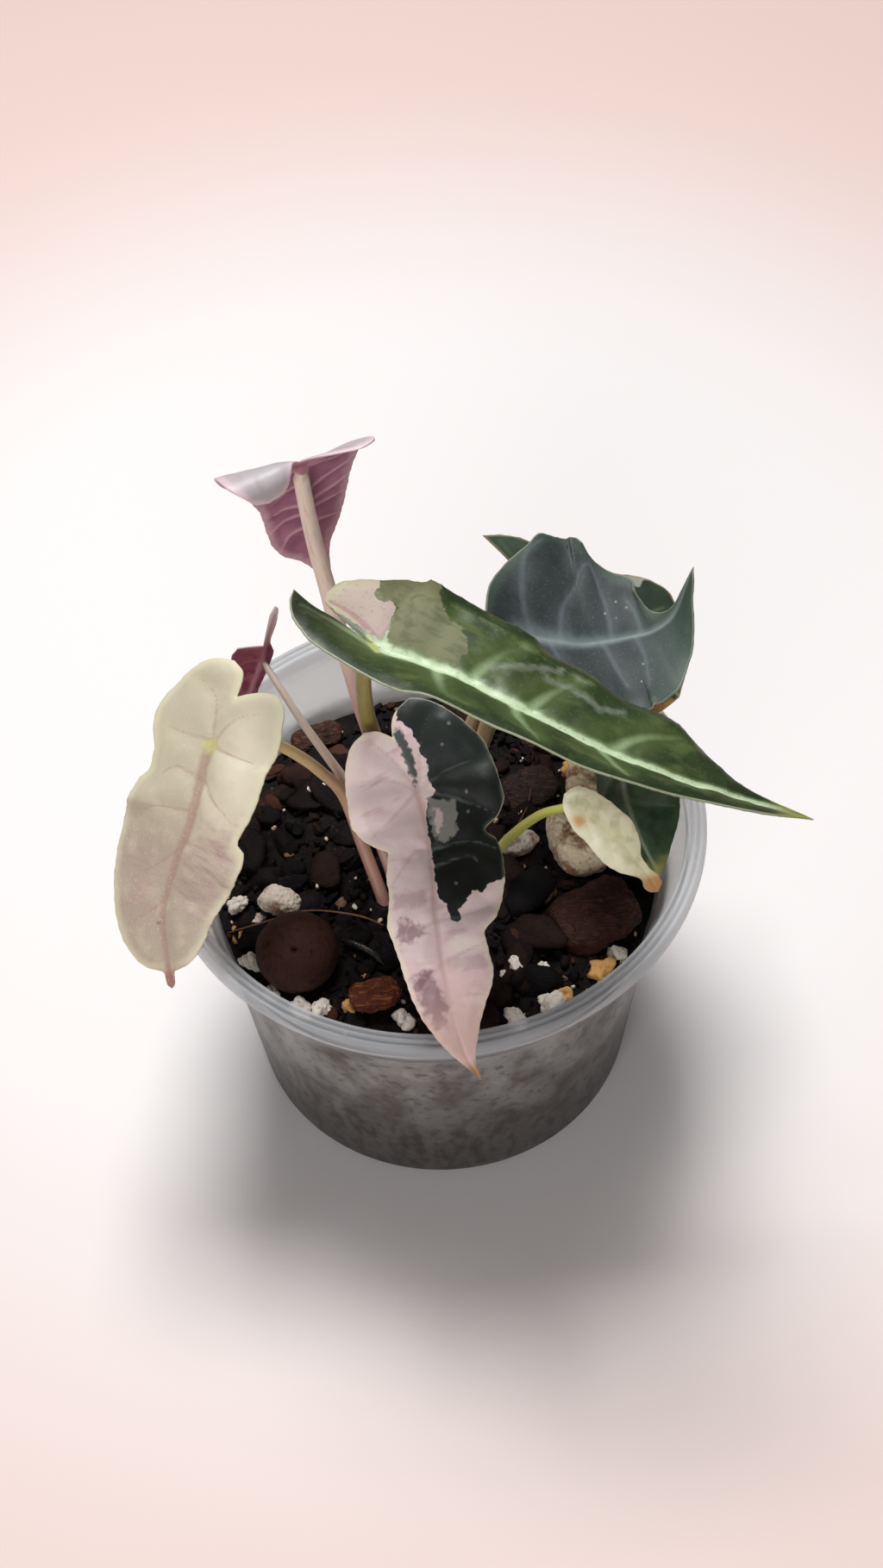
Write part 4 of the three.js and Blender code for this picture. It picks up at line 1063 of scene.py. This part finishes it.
pink.over((176, 172, 156), dark_part * pink.band(pink.edge, 0.3, 0.1) * 0.7)
for s, r in [(3, -9), (-6, -8), (6, -8.5), (19, -4.5), (-9, -11)]:
    pink.over((120, 124, 118), pink.spot(s, r, 0.25, 0.25))
pink.along((150, 112, 78), 53, 56, 1, 1)
pink.underside((206, 178, 172), (222, 196, 186))
pink_leaf = grow_leaf(
    "leaf_pink_growth", [pink.finish_leaf(0.44, 0.14), pink_stalk],
    spine=[(-9.5, -5.5, 121), (-2.5, -18.5, 111), (-0.5, -28.5, 105), (0, -41, 99), (1.5, -53.5, 93),
           (4.5, -64.5, 87.5), (7, -68, 84)],
    face=(0, -0.5, 0.87), lift=(4, 4), curl=(-0.6, -0.6), wave=(0.5, 13),
    left={
        "margin": [(-17, 6.5), (-15.5, 9), (-12.5, 11.5), (-8, 14), (-2.5, 16), (4.5, 16), (7.5, 14),
                   (9.5, 11), (11.5, 13), (16.5, 14), (26, 12), (29.5, 9), (37, 9.5), (47.5, 4.5),
                   (53.5, 1.5), (58.3, 0)],
        "sinus": [(-17, 6.5), (-16, 3.4), (-14.5, 1.5), (-11.5, 0)],
    },
    right={
        "margin": [(-14.7, 4.4), (-14, 7), (-11.5, 10), (-5.5, 13), (3, 14.5), (7.5, 13.2), (10, 10.8),
                   (11.6, 8.2), (13.2, 8.5), (17, 9), (21, 8.7), (26, 9.5), (30.5, 8.5), (42, 6.5),
                   (51, 3), (54.5, 1), (58.3, 0)],
        "sinus": [(-14.7, 4.4), (-14, 2.3), (-12.8, 1), (-11.5, 0)],
    },
    stalk=[(-1.9, -16.2, 106), (-1.2, -15, 100), (-0.6, -13.8, 85), (-0.4, -13, 72), (-0.6, -12.5, 62),
           (-0.6, -12.6, 50)],
    thin=1.3, thick=1.5, rib=(0.95, 0.35),
    veins=[
        [(0, 0), (-7.5, 2), (-12.5, 4)], [(0, 0), (-4, 4.5), (-6, 12)], [(0, 0), (3.5, 5.5), (8.5, 11.5)],
        [(12, 0), (12.5, 3.5), (18.5, 8)], [(26, 0), (28, 5), (30, 8)],
        [(34.5, 0), (37.5, 3.5), (40.5, 6.5)], [(0, 0), (-9.5, -5.5), (-13.5, -11)],
        [(0, 0), (-1.5, -7.5), (-1, -14)], [(0, 0), (4.5, -8.5), (7, -13.5)],
        [(12, 0), (11.5, -7.5), (13.5, -13.5)], [(15.5, 0), (14, -7.5), (17, -9.5)],
        [(26, 0), (25.5, -6.5), (24, -11.5)], [(34.5, 0), (32.5, -5.5), (31.5, -8.5)],
    ],
    patches={
        "dark": [(-14, -2.5), (-16, -3.5), (-19, -7), (-15, -13), (-10, -18), (-3, -19), (5, -19),
                 (9, -13), (12, -17), (18, -14), (19.5, -10.5), (21, -9.5), (20.5, -7.5), (22, -6.5),
                 (24.5, -4.5), (26.5, -5), (27, -4), (26, -2.5), (23.5, -2.5), (21.5, -1), (19, -0.5),
                 (14.5, -0.3), (7, 0), (3, -1), (1, -3.5), (-1, -2.5), (-3, -3.5), (-5, -4.5), (-6, -3.5),
                 (-8.5, -4), (-11.5, -4)],
        "grey": [(2, -1.5), (3.5, -4.5), (3.5, -6.5), (7, -6), (10, -5), (11, -3.5), (10.5, -2),
                 (8, -0.5)],
        "island": [(4.5, -2), (5, -3.5), (7, -3.5), (9, -2), (7, -1.5)],
        "sliver": [(-13, -0.6), (-7, -0.1), (-0.5, 0.1), (-1.2, -0.8), (-5, -1.7), (-9.5, -2.2),
                   (-12.5, -2.4)],
        "feather": [(36.5, 6), (35, 2.5), (38, 2), (42.5, 0.5), (46, 2), (46.5, 3.5), (43.5, 5),
                    (40.5, 5.5)],
        "left_fold_shade": [(20.5, 1.5), (20, 5), (20.5, 8.5), (23, 8), (23, 4.5), (22.5, 1.5)],
        "right_fold_shade": [(34, -1.5), (33.5, -5), (34, -9), (37, -8), (36.5, -4), (36, -1.5)],
        "right_swell_highlight": [(30.5, -2), (30, -6), (30.5, -9), (33, -8.5), (33, -5), (33, -2)],
        "mottle": [(26, 7.5), (25.5, 4.5), (28, 2.5), (29.5, 5), (29, 7.5)],
    },
    pucker=0.6, seed=5,
)


# The long leaf: the largest, a green arrow across the top with pale mint veins and a glossy skin.
# Its left lobe has a cream-pink patch and an olive-grey one, side by side.

olive_stalk = stalk_paint("olive_stalk", (132, 124, 66), (112, 98, 52), (80, 72, 34))
green = LeafPaint("green_blade", (68, 86, 42))
green.over((36, 54, 23), green.band(kept(green, "vein") + 1.5 * green.fuzz, 2.5, 9) * 0.8)
green.mottle((98, 114, 62), 0.5, 5, 0.5, 0.7, 2, (0.7, 1.4, 1))
green.rim((30, 45, 22), 3.4, 1, 0.6)
near_rib = green.band(abs(green.r), 13, 1)
green.veins((150, 174, 128), 0.7, 1.3, 0.85 * near_rib)
green.over((120, 140, 84), green.patch("submarginal", 0.3, 1.2) * green.blotch(4, 0.35, 0.6) * 0.35)
green.stain((122, 124, 92), "olive", 0.15, 1.6)
olive_streak = green.blotch(2.2, 0.45, 0.65, 6, (0.6, 1.3, 1))
green.over((88, 90, 60), green.patch("olive", 0.5, 1.6) * olive_streak * 0.6)
green.over((92, 92, 52), green.patch("olive", 0.3, 1.2) * green.band(green.edge + green.fuzz, 5, 1) * 0.7)
green.stain((190, 172, 162), "blush", 0.15, 1.2)
green.over((184, 180, 144), green.patch("blush", 0.4, 1.0) * green.band(green.edge, 3, 0.8) * 0.6)
blush_veins = green.patch("blush", 0.3, 1.0) * green.band(kept(green, "vein"), 1.3, 0.4)
green.over((170, 130, 130), blush_veins * 0.8)
green.over((146, 172, 122), green.band(kept(green, "rib") + 0.8 * green.fuzz, 2.4, 0.6) * 0.75)
green.midrib((206, 226, 188), 1.15, 0.4, 0.92)
green.stain((178, 190, 118), "heart", 0.4, 1.0)
# Painted shade: the right lobe is darkened almost to black-green.
right_lobe_shade = green.band(green.s + 2 * green.fuzz, -4, -13) * green.band(green.r, -0.5, 0.5)
green.over((22, 32, 18), right_lobe_shade * 0.75)
# Painted highlights: two thin pale streaks of gloss on the blade.
for streak in ("painted_gloss_near", "painted_gloss_far"):
    green.over((176, 184, 170), green.band(kept(green, streak) + 2.4 * green.fuzz, -1.2, 0.3) * 0.3)
green.over((176, 180, 150), green.band(green.edge, 0.3, 0.1) * green.band(green.r, -8, 0) * 0.8)
green.along((150, 152, 80), 76, 84)
green.mottle((92, 110, 70), 0.35, 0.6, 0.56, 0.72, 3)
green.underside((120, 136, 104), (176, 190, 156))
green_dullness = 0.42 + 0.35 * green.patch("olive", 0.3, 2) + 0.4 * green.patch("blush", 0.3, 2)
long_leaf = grow_leaf(
    "leaf_long_growth", [green.finish_leaf(green_dullness, 0.03, 0.03), olive_stalk],
    spine=[(-16, -9, 152), (-7.5, -16, 150), (3.5, -21, 148.5), (16.5, -28, 145.5), (30, -34, 141),
           (44, -38, 136), (57.5, -39.5, 130), (70.5, -39, 123)],
    face=(0.2, -0.05, 0.98),
    lift=[(8, 20), (8, 22), (5, 30), (0, 30), (0, 30), (0, 28), (0, 26), (0, 20)],
    curl=[(-0.01, -0.3)] * 2 + [(-0.3, -0.3)] + [(-0.8, -0.3)] * 5,
    wave=(0.45, 17),
    left={
        "margin": [(-15.2, 3), (-15, 5.5), (-13, 8.5), (-9.5, 12), (-6, 16), (0.5, 18), (8.5, 17.5),
                   (31, 17.5), (40, 15.5), (58, 13.5), (66, 7.5), (72, 3.5), (79.5, 1.5), (88, 0)],
        "sinus": [(-15.2, 3), (-14, 1.3), (-10, 0.6), (-1.5, 0)],
    },
    right={
        "margin": [(-20.2, 0.5), (-18.5, 4), (-14, 8.5), (-7, 10.5), (-1.5, 10.5), (9, 13), (23.5, 11.5),
                   (43, 10), (63.5, 5.5), (76, 3), (88, 0)],
        "sinus": [(-20.2, 0.5), (-15, 1.2), (-10, 0.4), (-1.5, 0)],
    },
    stalk=[(-9.9, -13.7, 144), (-11.2, -11.1, 138), (-11.7, -7.4, 126), (-11, -4.1, 111),
           (-8.3, -3.2, 95), (-5.2, -6.5, 77), (-4.2, -9.5, 63), (-4, -10, 50)],
    thin=1.4, thick=1.9, rib=(1.3, 0.4),
    veins=[
        [(0, 0), (-1.5, -6.5), (-2.5, -13.5)], [(17, 0), (19, -8.5), (21.5, -13.5)],
        [(29, 0), (31, -6), (34.5, -12)], [(45, 0), (50.5, -6), (59, -10)],
        [(0, -0.5), (-7, -2.5), (-13.5, -2)], [(8, 0), (8.5, -7), (10, -13)],
        [(0, 0.5), (-7, 1.5), (-16.5, 3.5)], [(10.5, 0), (15, 9), (20, 9)], [(26, 0), (29, 5), (33, 8.5)],
        [(43, 0), (46, 4), (49, 7)],
    ],
    patches={
        "blush": [(-13.5, -0.8), (-16, -3), (-16, -7), (-13.5, -10), (-10, -12.5), (-8.5, -8), (-6.5, -8),
                  (-4, -9.5), (-3, -9), (-2, -6), (-0.5, -2.5), (-1.5, -1.5), (-5.5, -1.5), (-10, -1)],
        "olive": [(-10, -12), (-6, -18), (0, -20), (5, -19), (6.5, -13.5), (8.5, -12), (11, -11),
                  (12, -9.5), (13, -9), (14, -6), (14, -3), (12.5, -1), (6.5, -1), (1.5, -1.5),
                  (-0.5, -2.5), (-2, -6), (-3, -9), (-4, -9.5), (-6.5, -8), (-8.5, -8)],
        "painted_gloss_near": [(19.5, -5.5), (25, -9.5), (31, -13), (31.5, -13.4), (25, -10.2), (19.5, -6)],
        "painted_gloss_far": [(29, -9), (34, -10), (40.5, -8), (46, -10), (46, -10.4), (40.5, -8.6), (34, -10.6),
                      (29, -9.5)],
        "heart": [(-4, -1.2), (-1.5, -0.7), (0.3, 0.6), (0.3, 2.8), (-2, 1.3)],
        "submarginal": [(4, -15.9), (11, -15), (21, -14.5), (30, -14), (39, -13.4), (39, -12.7),
                        (30, -13.2), (21, -13.7), (11, -14.2), (4, -15.1)],
    },
    pucker=0.6, seed=7,
)


# The slate leaf: broad, smoky grey-green with pale veins, standing at the back right.
# Its tip turns up in a fine point, and its margin is a thin pale line.

brown_stalk = stalk_paint("brown_stalk", (158, 140, 96), (150, 126, 92), (196, 176, 142))
smoke = LeafPaint("slate_blade", (50, 57, 58))
smoke.over((76, 84, 87), smoke.band(kept(smoke, "vein") + 2 * smoke.fuzz, 4, 0.5) * 0.45)
smoke.mottle((36, 43, 43), 0.6, 5, 0.5, 0.7, 3)
smoke.along((74, 92, 82), 22, 36, 0.7, 3)
smoke.rim((70, 88, 74), 2.6, 0.8, 0.55)
smoke.veins((112, 124, 128), 0.3, 0.9, 0.38)
beside_rib = smoke.band(kept(smoke, "rib") + 1.2 * smoke.fuzz, 3.2, 0.6)
smoke.over((122, 134, 136), beside_rib * smoke.band(smoke.s, 30, 4) * 0.55)
smoke.midrib((150, 162, 160), 0.8, 1.2, 0.6)
smoke.rim((136, 142, 130), 0.3, 0.1, 0.7, 0)
smoke.mottle((116, 128, 132), 0.3, 0.5, 0.56, 0.74, 3)
for s, r in [(24, -8), (25.5, -6.5), (21, -6), (23.2, -4.6), (26.2, 9.2), (23.8, 13.7)]:
    smoke.over((196, 202, 202), smoke.spot(s, r, 0.12, 0.3) * 0.8)
smoke.underside((104, 116, 100), (160, 168, 148))
slate_leaf = grow_leaf(
    "leaf_slate_growth", [smoke.finish_leaf(0.6, 0.02, 0.02), brown_stalk],
    spine=[(12, 10.5, 127), (19, 15, 118), (31, 16, 113), (37, 17, 112), (42.5, 18, 112),
           (47.5, 18.5, 113), (52, 20, 117), (55, 22, 128)],
    face=[(0.1, -0.2, 0.98)] * 6 + [(-0.2, -0.2, 0.95), (-0.5, -0.3, 0.8)],
    lift=(12, 20), curl=(-0.3, -0.3), wave=(0.35, 14),
    left={
        "margin": [(-11, 1.2), (-8.6, 4.4), (-5.4, 9), (-2.4, 13.2), (0.2, 17), (2.6, 20.3), (4.5, 23),
                   (12, 24), (18.3, 23.5), (20, 20.5), (22.7, 17), (25.5, 14), (30.3, 9.3), (31.1, 5),
                   (33.2, 2.7), (37, 1.2), (41, 0.8), (47.7, 0)],
        "sinus": [(-11, 1.2), (-10.9, 0.6), (-10.8, 0)],
    },
    right={
        "margin": [(-11.8, 4), (-9, 9.6), (-4, 13.5), (6, 15), (12, 17), (16.5, 19.5), (23.4, 21),
                   (28, 20.5), (29.7, 18), (32.7, 13), (35.8, 9.7), (39, 6.3), (42.6, 3.4), (45.7, 2),
                   (47.7, 0)],
        "sinus": [(-11.8, 4), (-11.3, 2), (-10.8, 0)],
    },
    stalk=[(17.4, 13, 113), (14.6, 10, 106), (11.6, 6.8, 97), (8.4, 3.4, 86), (4.6, -1.6, 72),
           (2.8, -5.3, 62), (2.4, -6.4, 50)],
    thin=1.3, thick=1.6, rib=(1.4, 0.4),
    veins=[
        [(3, 0), (1.5, -7), (1.5, -14.5), (2.5, -19), (5.5, -22)],
        [(9.5, -0.5), (10.5, -8.5), (17, -15), (19.5, -18)],
        [(21, 0), (21.5, -6.5), (21, -12.5), (20, -17.5)], [(27.5, 0), (27, -4.5), (25.5, -8.5)],
        [(19, 0), (19.5, 8), (20.5, 14.5)], [(26, 0), (27, 7.5), (26.5, 16)],
        [(7.5, 1), (9, 8), (10, 11.5)], [(0, 0), (-3, 5), (-6, 10)],
    ],
    pucker=0.2, seed=9,
)


# The rear leaf: dark green, half hidden behind the slate leaf, with the fold of its far edge in grey.
# Its margin has dried orange-brown near the tip.

tan_stalk = stalk_paint("tan_stalk", (160, 138, 102), (176, 150, 116), (132, 116, 62))
rear = LeafPaint("rear_blade", (52, 66, 50))
rear.along((80, 98, 84), 2, -8, 0.8)
rear.mottle((36, 48, 34), 0.6, 4, 0.5, 0.7)
rear.veins((96, 112, 86), 0.7, 0.8, 0.6)
rear.midrib((120, 136, 108), 0.9, 0.7, 0.8)
rear.stain((158, 162, 146), "grey", 0.3, 1.2)
rear.stain((176, 130, 70), "dry", 0.4, 1.6)
rear.rim((168, 150, 104), 0.5, 0.15, 0.7, 0)
rear.underside((104, 118, 90), (150, 160, 128))
rear_leaf = grow_leaf(
    "leaf_rear_growth", [rear.finish_leaf(0.42, 0.03, 0.02), tan_stalk],
    spine=[(15.5, 33.5, 120), (22.5, 31, 113), (32, 29, 107), (42, 26, 101), (49.5, 22, 95.5),
           (54, 18, 92)],
    face=(0.25, -0.3, 0.92), lift=(6, 6), curl=(-0.3, -0.3), wave=(0.35, 12),
    left={
        "margin": [(-15.6, 2.9), (-11.3, 6.4), (-6.7, 9), (2.2, 11.4), (10.4, 12.3), (16.2, 13.6),
                   (22.5, 16.7), (25.3, 16.9), (28.2, 15.5), (31.8, 12.7), (35.7, 7.9), (40.6, 0)],
        "sinus": [(-15.6, 2.9), (-10.7, 2.7), (-6.8, 2.4), (-3, 0)],
    },
    right={
        "margin": [(-5.9, 6.4), (-4.4, 9.5), (-0.7, 13.6), (5.6, 17.8), (20.2, 18.9), (33, 15.5),
                   (38, 11), (40, 6), (40.6, 0)],
        "sinus": [(-5.9, 6.4), (-4.6, 3), (-3, 0)],
    },
    stalk=[(17.8, 21.5, 107), (13.8, 16.2, 101), (9.7, 12.9, 94), (5.8, 9.1, 83), (1.6, 4, 71),
           (-0.8, -0.5, 60), (-1.2, -1.8, 50)],
    thin=1.3, thick=1.6, rib=(1.0, 0.4),
    veins=[
        [(0, 0), (-5, -3), (-12, -4.5)], [(0, 0), (1, -6), (2, -10)], [(9, 0), (12, -7), (17, -12)],
        [(20, 0), (24, -7), (27, -13)], [(0, 0), (-1, 6), (-1, 12)], [(8, 0), (10, 9), (13, 16)],
        [(19, 0), (22, 8), (27, 15)], [(30, 0), (33, 6), (36, 10)],
    ],
    patches={
        "grey": [(16, -13.5), (19.5, -15.5), (22.5, -17.5), (21.5, -13.5), (19, -12.5)],
        "dry": [(39.5, 10.5), (37, 8), (40, 2), (43, 5.5)],
    },
    pucker=0.5, seed=11,
)


# The low leaf: dark green and thin, half folded along its midrib, hanging at the right under the
# long leaf. It is an older one, whose tip has yellowed.

low_stalk = stalk_paint("low_stalk", (96, 104, 60), (120, 112, 64), (140, 132, 84))
low = LeafPaint("low_blade", (48, 72, 42))
low.mottle((26, 44, 24), 0.8, 4, 0.44, 0.66)
low.veins((88, 104, 76), 0.7, 0.8, 0.6)
low.midrib((132, 142, 120), 0.7, 0.7, 0.8)
low.along((138, 134, 74), 29, 33, 0.9, 3)
low.underside((96, 110, 84), (140, 150, 120))
low_leaf = grow_leaf(
    "leaf_low_growth", [low.finish_leaf(0.5, 0.03, 0.02), low_stalk],
    spine=[(34.9, 5.6, 105), (36.6, 3.2, 100), (39, -1, 93), (40.9, -5.9, 86), (43.5, -10.6, 80),
           (47.2, -16.1, 74)],
    face=(0.3, -0.45, 0.82), lift=[(5, 25), (5, 25), (5, 15), (5, 0), (5, -10), (5, -10)],
    curl=(-0.3, -0.3),
    wave=(0.3, 12),
    left={
        "margin": [(-9, 5), (-7, 8), (-2.5, 9), (2.7, 10), (9.1, 12.3), (15.4, 13.2), (20.1, 12.2),
                   (25.1, 9.9), (28.9, 6.4), (31.9, 3.2), (34.3, 0)],
        "sinus": [(-9, 5), (-6, 2), (-3.5, 0)],
    },
    right={
        "margin": [(-8.1, 4.4), (-6, 7.8), (-0.6, 8.1), (6.2, 6.6), (11.9, 6.4), (16, 7.6), (20, 8),
                   (25, 6.6), (30, 3.4), (34.3, 0)],
        "sinus": [(-8.1, 4.4), (-5.5, 1.6), (-3.5, 0)],
    },
    stalk=[(31.5, 6.5, 102), (25.5, 10, 102), (19.5, 12.6, 99.5), (14.8, 13, 94.5), (11.8, 11.2, 88),
           (8.4, 6.6, 76), (5.6, 2.4, 66), (4.8, 1.2, 50)],
    thin=1.1, thick=1.4, rib=(1.0, 0.35),
    veins=[
        [(0, 0), (2, -5), (4, -9)], [(7, 0), (10, -6), (14, -12)], [(16, 0), (19, -5), (22, -10)],
        [(0, 0), (0, 4), (1, 7)], [(8, 0), (11, 4), (14, 6)], [(17, 0), (20, 4), (23, 6)],
    ],
    pucker=0.45, seed=13,
)


# The small leaf: an early cream-yellow one, thin enough for light to pass, with an ochre stain.
# Its tip has dried tan and curled.

lime_stalk = stalk_paint("lime_stalk", (176, 180, 84), (150, 142, 84), (190, 182, 126))
pale = LeafPaint("pale_blade", (186, 180, 150))
pale.mottle((160, 154, 118), 0.7, 3, 0.46, 0.62)
pale.over((218, 212, 188), pale.band(pale.r + 2 * pale.fuzz, 0.5, 4) * 0.6)
pale.veins((188, 178, 140), 0.4, 0.5, 0.3)
pale.midrib((186, 174, 134), 0.6, 0.7, 0.4)
pale.over((176, 128, 62), pale.spot(2.5, 2.6, 1.2, 1.0) * 0.9)
pale.over((158, 118, 72), pale.band(pale.s + 0.4 * pale.r + 2 * pale.fuzz, 19.5, 22))
pale.underside((214, 204, 164), (198, 182, 136))
pale_leaf = grow_leaf(
    "leaf_small_growth", [pale.finish_leaf(0.45, 0.3), lime_stalk],
    spine=[(26.6, -7.7, 94.5), (29.6, -10.7, 93.5), (34.1, -14.1, 91.5), (38.2, -17.9, 89.5),
           (41.8, -22, 87), (45.2, -26.5, 84)],
    face=(0.3, -0.45, 0.84), lift=(2, 2), curl=(-0.3, -0.3), wave=(0.3, 9),
    left={
        "margin": [(-3.4, 0), (-3.3, 1.5), (-2.4, 3.7), (-0.4, 4.4), (2.8, 5), (9.4, 5.2), (14.4, 3.2),
                   (17, 1.4), (19.5, 1.3), (21.5, 2), (23.2, 1.9), (24.4, 0)],
        "sinus": [],
    },
    right={
        "margin": [(-3.4, 0), (-2, 1.9), (0.3, 3.5), (2.7, 4.7), (7.3, 5.2), (11, 5.8), (14, 5.5),
                   (16.6, 4.4), (18.8, 2.6), (20.6, 1.5), (22, 2), (23.4, 1.6), (24.4, 0)],
        "sinus": [],
    },
    stalk=[(26.4, -10.3, 92), (23, -9.6, 89.8), (20, -8.8, 86), (17.5, -8.2, 82), (15, -7.7, 77.5),
           (10.3, -8.9, 70), (6, -9.7, 62), (4.8, -10.5, 50)],
    thin=0.9, thick=1.2, rib=(0.7, 0.3),
    veins=[
        [(2, 0), (4, -2), (7, -4)], [(8, 0), (10, -2), (13, -3)], [(2, 0), (4, 2), (7, 4)],
        [(8, 0), (11, 2.5), (14, 4)],
    ],
    pucker=0.35, seed=15,
)


# The purple leaf: held highest and folded back, so that its purple underside faces the front.
# Its lobes roll over the top, where their other face is a pale lavender grey.

beige_stalk = stalk_paint("beige_stalk", (226, 208, 192), (168, 112, 108), (190, 146, 138))
purple = LeafPaint("purple_blade", (182, 172, 176))
purple.mottle((158, 144, 148), 0.7, 5, 0.5, 0.7)
purple.veins((160, 136, 144), 0.4, 0.5, 0.4)
purple.rim((222, 196, 202), 1.2, 0.3, 0.7)
wine = purple.mixed(purple.blotch(6, 0.42, 0.66), (150, 98, 122), (132, 84, 106))
wine = purple.mixed(purple.band(purple.edge + 2.4 * purple.fuzz, 2.2, 0.3) * 0.75, wine, (190, 158, 166))
purple.underside(wine, (204, 162, 174), 0.6)
purple.over((150, 96, 104), purple.spot(-1, 0, 1.4, 0.8) * 0.8)
purple_leaf = grow_leaf(
    "leaf_purple_growth", [purple.finish_leaf(0.45, 0.15), beige_stalk],
    spine=[(-18.5, 6, 164), (-20.5, 8.5, 173), (-20.5, 12, 169.5), (-20.5, 15.5, 161), (-20, 17.5, 151),
           (-19, 20, 138), (-17, 21, 122)],
    joint=2,
    face=[(0.25, -0.8, 0.5), (-0.05, 0.1, 1), (-0.3, 0.8, 0.4)] + [(-0.3, 0.93, 0)] * 4,
    lift=(0, 0), curl=(0.1, 0.1), wave=(0.4, 14),
    left={
        "margin": [(-9.5, 7.5), (-8.6, 9.8), (-6.6, 12), (-4.4, 15.4), (-1.6, 14), (2.6, 12.4),
                   (13.7, 9.2), (22.2, 8.9), (28.1, 7.3), (32.3, 3.9), (37.2, 2), (42, 1.8), (48.8, 0)],
        "sinus": [(-9.5, 7.5), (-9, 4.5), (-6.5, 2), (-4, 0.5), (-3, 0)],
    },
    right={
        "margin": [(-4.6, 9.5), (-4.4, 11.8), (-3.2, 14.4), (-0.5, 12.6), (4, 10.5), (13.8, 8), (23, 5),
                   (30.5, 2), (37, 1), (48.8, 0)],
        "sinus": [(-4.6, 9.5), (-4.5, 6), (-4, 2.5), (-3, 0)],
    },
    stalk=[(-20.6, 11.8, 166), (-20, 10.9, 158), (-19, 8.7, 151), (-17.7, 6.7, 143.5), (-16.2, 4.9, 133),
           (-14.3, 4.6, 120), (-12.9, 4.9, 109), (-11.6, 5.4, 100), (-9.1, 3.4, 84), (-6.6, -0.6, 70),
           (-5.4, -4.5, 50)],
    thin=1.5, thick=2.2, rib=(1.2, 0.5),
    veins=[
        [(0, 0), (0.6, 5.5), (0.6, 10)], [(10, 0), (6, 6), (3, 10)], [(14, 0), (11, 6), (9, 9.5)],
        [(16, 0), (14, 7)], [(20, 0), (20, 5)], [(0, 0), (-3, 6), (-4, 13)],
        [(6.5, 0), (8, -4), (11, -7)], [(14.5, 0), (13.5, -4.5), (14.5, -8)],
        [(17.5, 0), (17, -5), (20, -9)], [(21, 0), (22, -5), (27, -8)], [(0, 0), (-3, -6), (-5, -14)],
        [(0, 0), (2, -7), (0, -13)],
    ],
    pucker=0.45, seed=17,
)


# The bud leaf: the smallest, just unfurled, hanging behind the cream leaf with its maroon underside out.
# One lobe stands up as a pale grey-mauve spike.

bud_stalk = stalk_paint("bud_stalk", (204, 190, 176), (190, 150, 140), (178, 148, 138))
bud = LeafPaint("bud_blade", (182, 168, 172))
bud.veins((166, 136, 146), 0.6, 0.5, 0.6)
plum = bud.mixed(bud.blotch(3, 0.42, 0.66), (182, 106, 134), (152, 80, 108))
plum = bud.mixed(bud.band(bud.s + bud.fuzz, -3, -6), plum, (226, 212, 212))
bud.underside(plum, (196, 140, 152), 0.7)
bud_leaf = grow_leaf(
    "leaf_bud_growth", [bud.finish_leaf(0.45, 0.15), bud_stalk],
    spine=[(-33, 21.5, 112), (-34, 21.5, 107), (-36, 22, 101), (-39, 21.5, 93), (-42, 20, 85)],
    face=(-0.3, 1, 0.1), lift=(0, 20), curl=(0.1, 0.1), wave=(0.3, 9),
    left={
        "margin": [(-4.5, 5.5), (-2, 6.8), (5.5, 6.5), (14.5, 4.5), (20, 2.5), (23.6, 0)],
        "sinus": [(-4.5, 5.5), (-4.4, 3), (-4, 0)],
    },
    right={
        "margin": [(-15.2, 1.6), (-14, 2.5), (-11, 2.6), (-7.9, 2.2), (-5, 1.6), (0, 3), (4.6, 3),
                   (11.8, 2.6), (18.7, 2), (23.6, 0)],
        "sinus": [(-15.2, 1.6), (-13, 0.6), (-9, 0.3), (-4, 0)],
    },
    stalk=[(-30.1, 15.3, 104), (-25.9, 10.7, 98), (-19.5, 6.1, 87.5), (-15, 3.2, 80), (-11.2, -2.6, 71),
           (-8.6, -8.2, 62), (-8, -10.2, 50)],
    thin=0.7, thick=1.3, rib=(0.7, 0.3),
    veins=[
        [(0, 0), (0, -3), (2, -6)], [(5, 0), (7, -3), (10, -5)], [(11, 0), (13, -2), (16, -3.5)],
        [(0, 0), (-6, 0.6), (-13, 1.4)], [(2, 0), (4, 1.5), (6, 2.6)], [(9, 0), (11, 1.4), (13, 2.2)],
    ],
    pucker=0.3, seed=19,
)
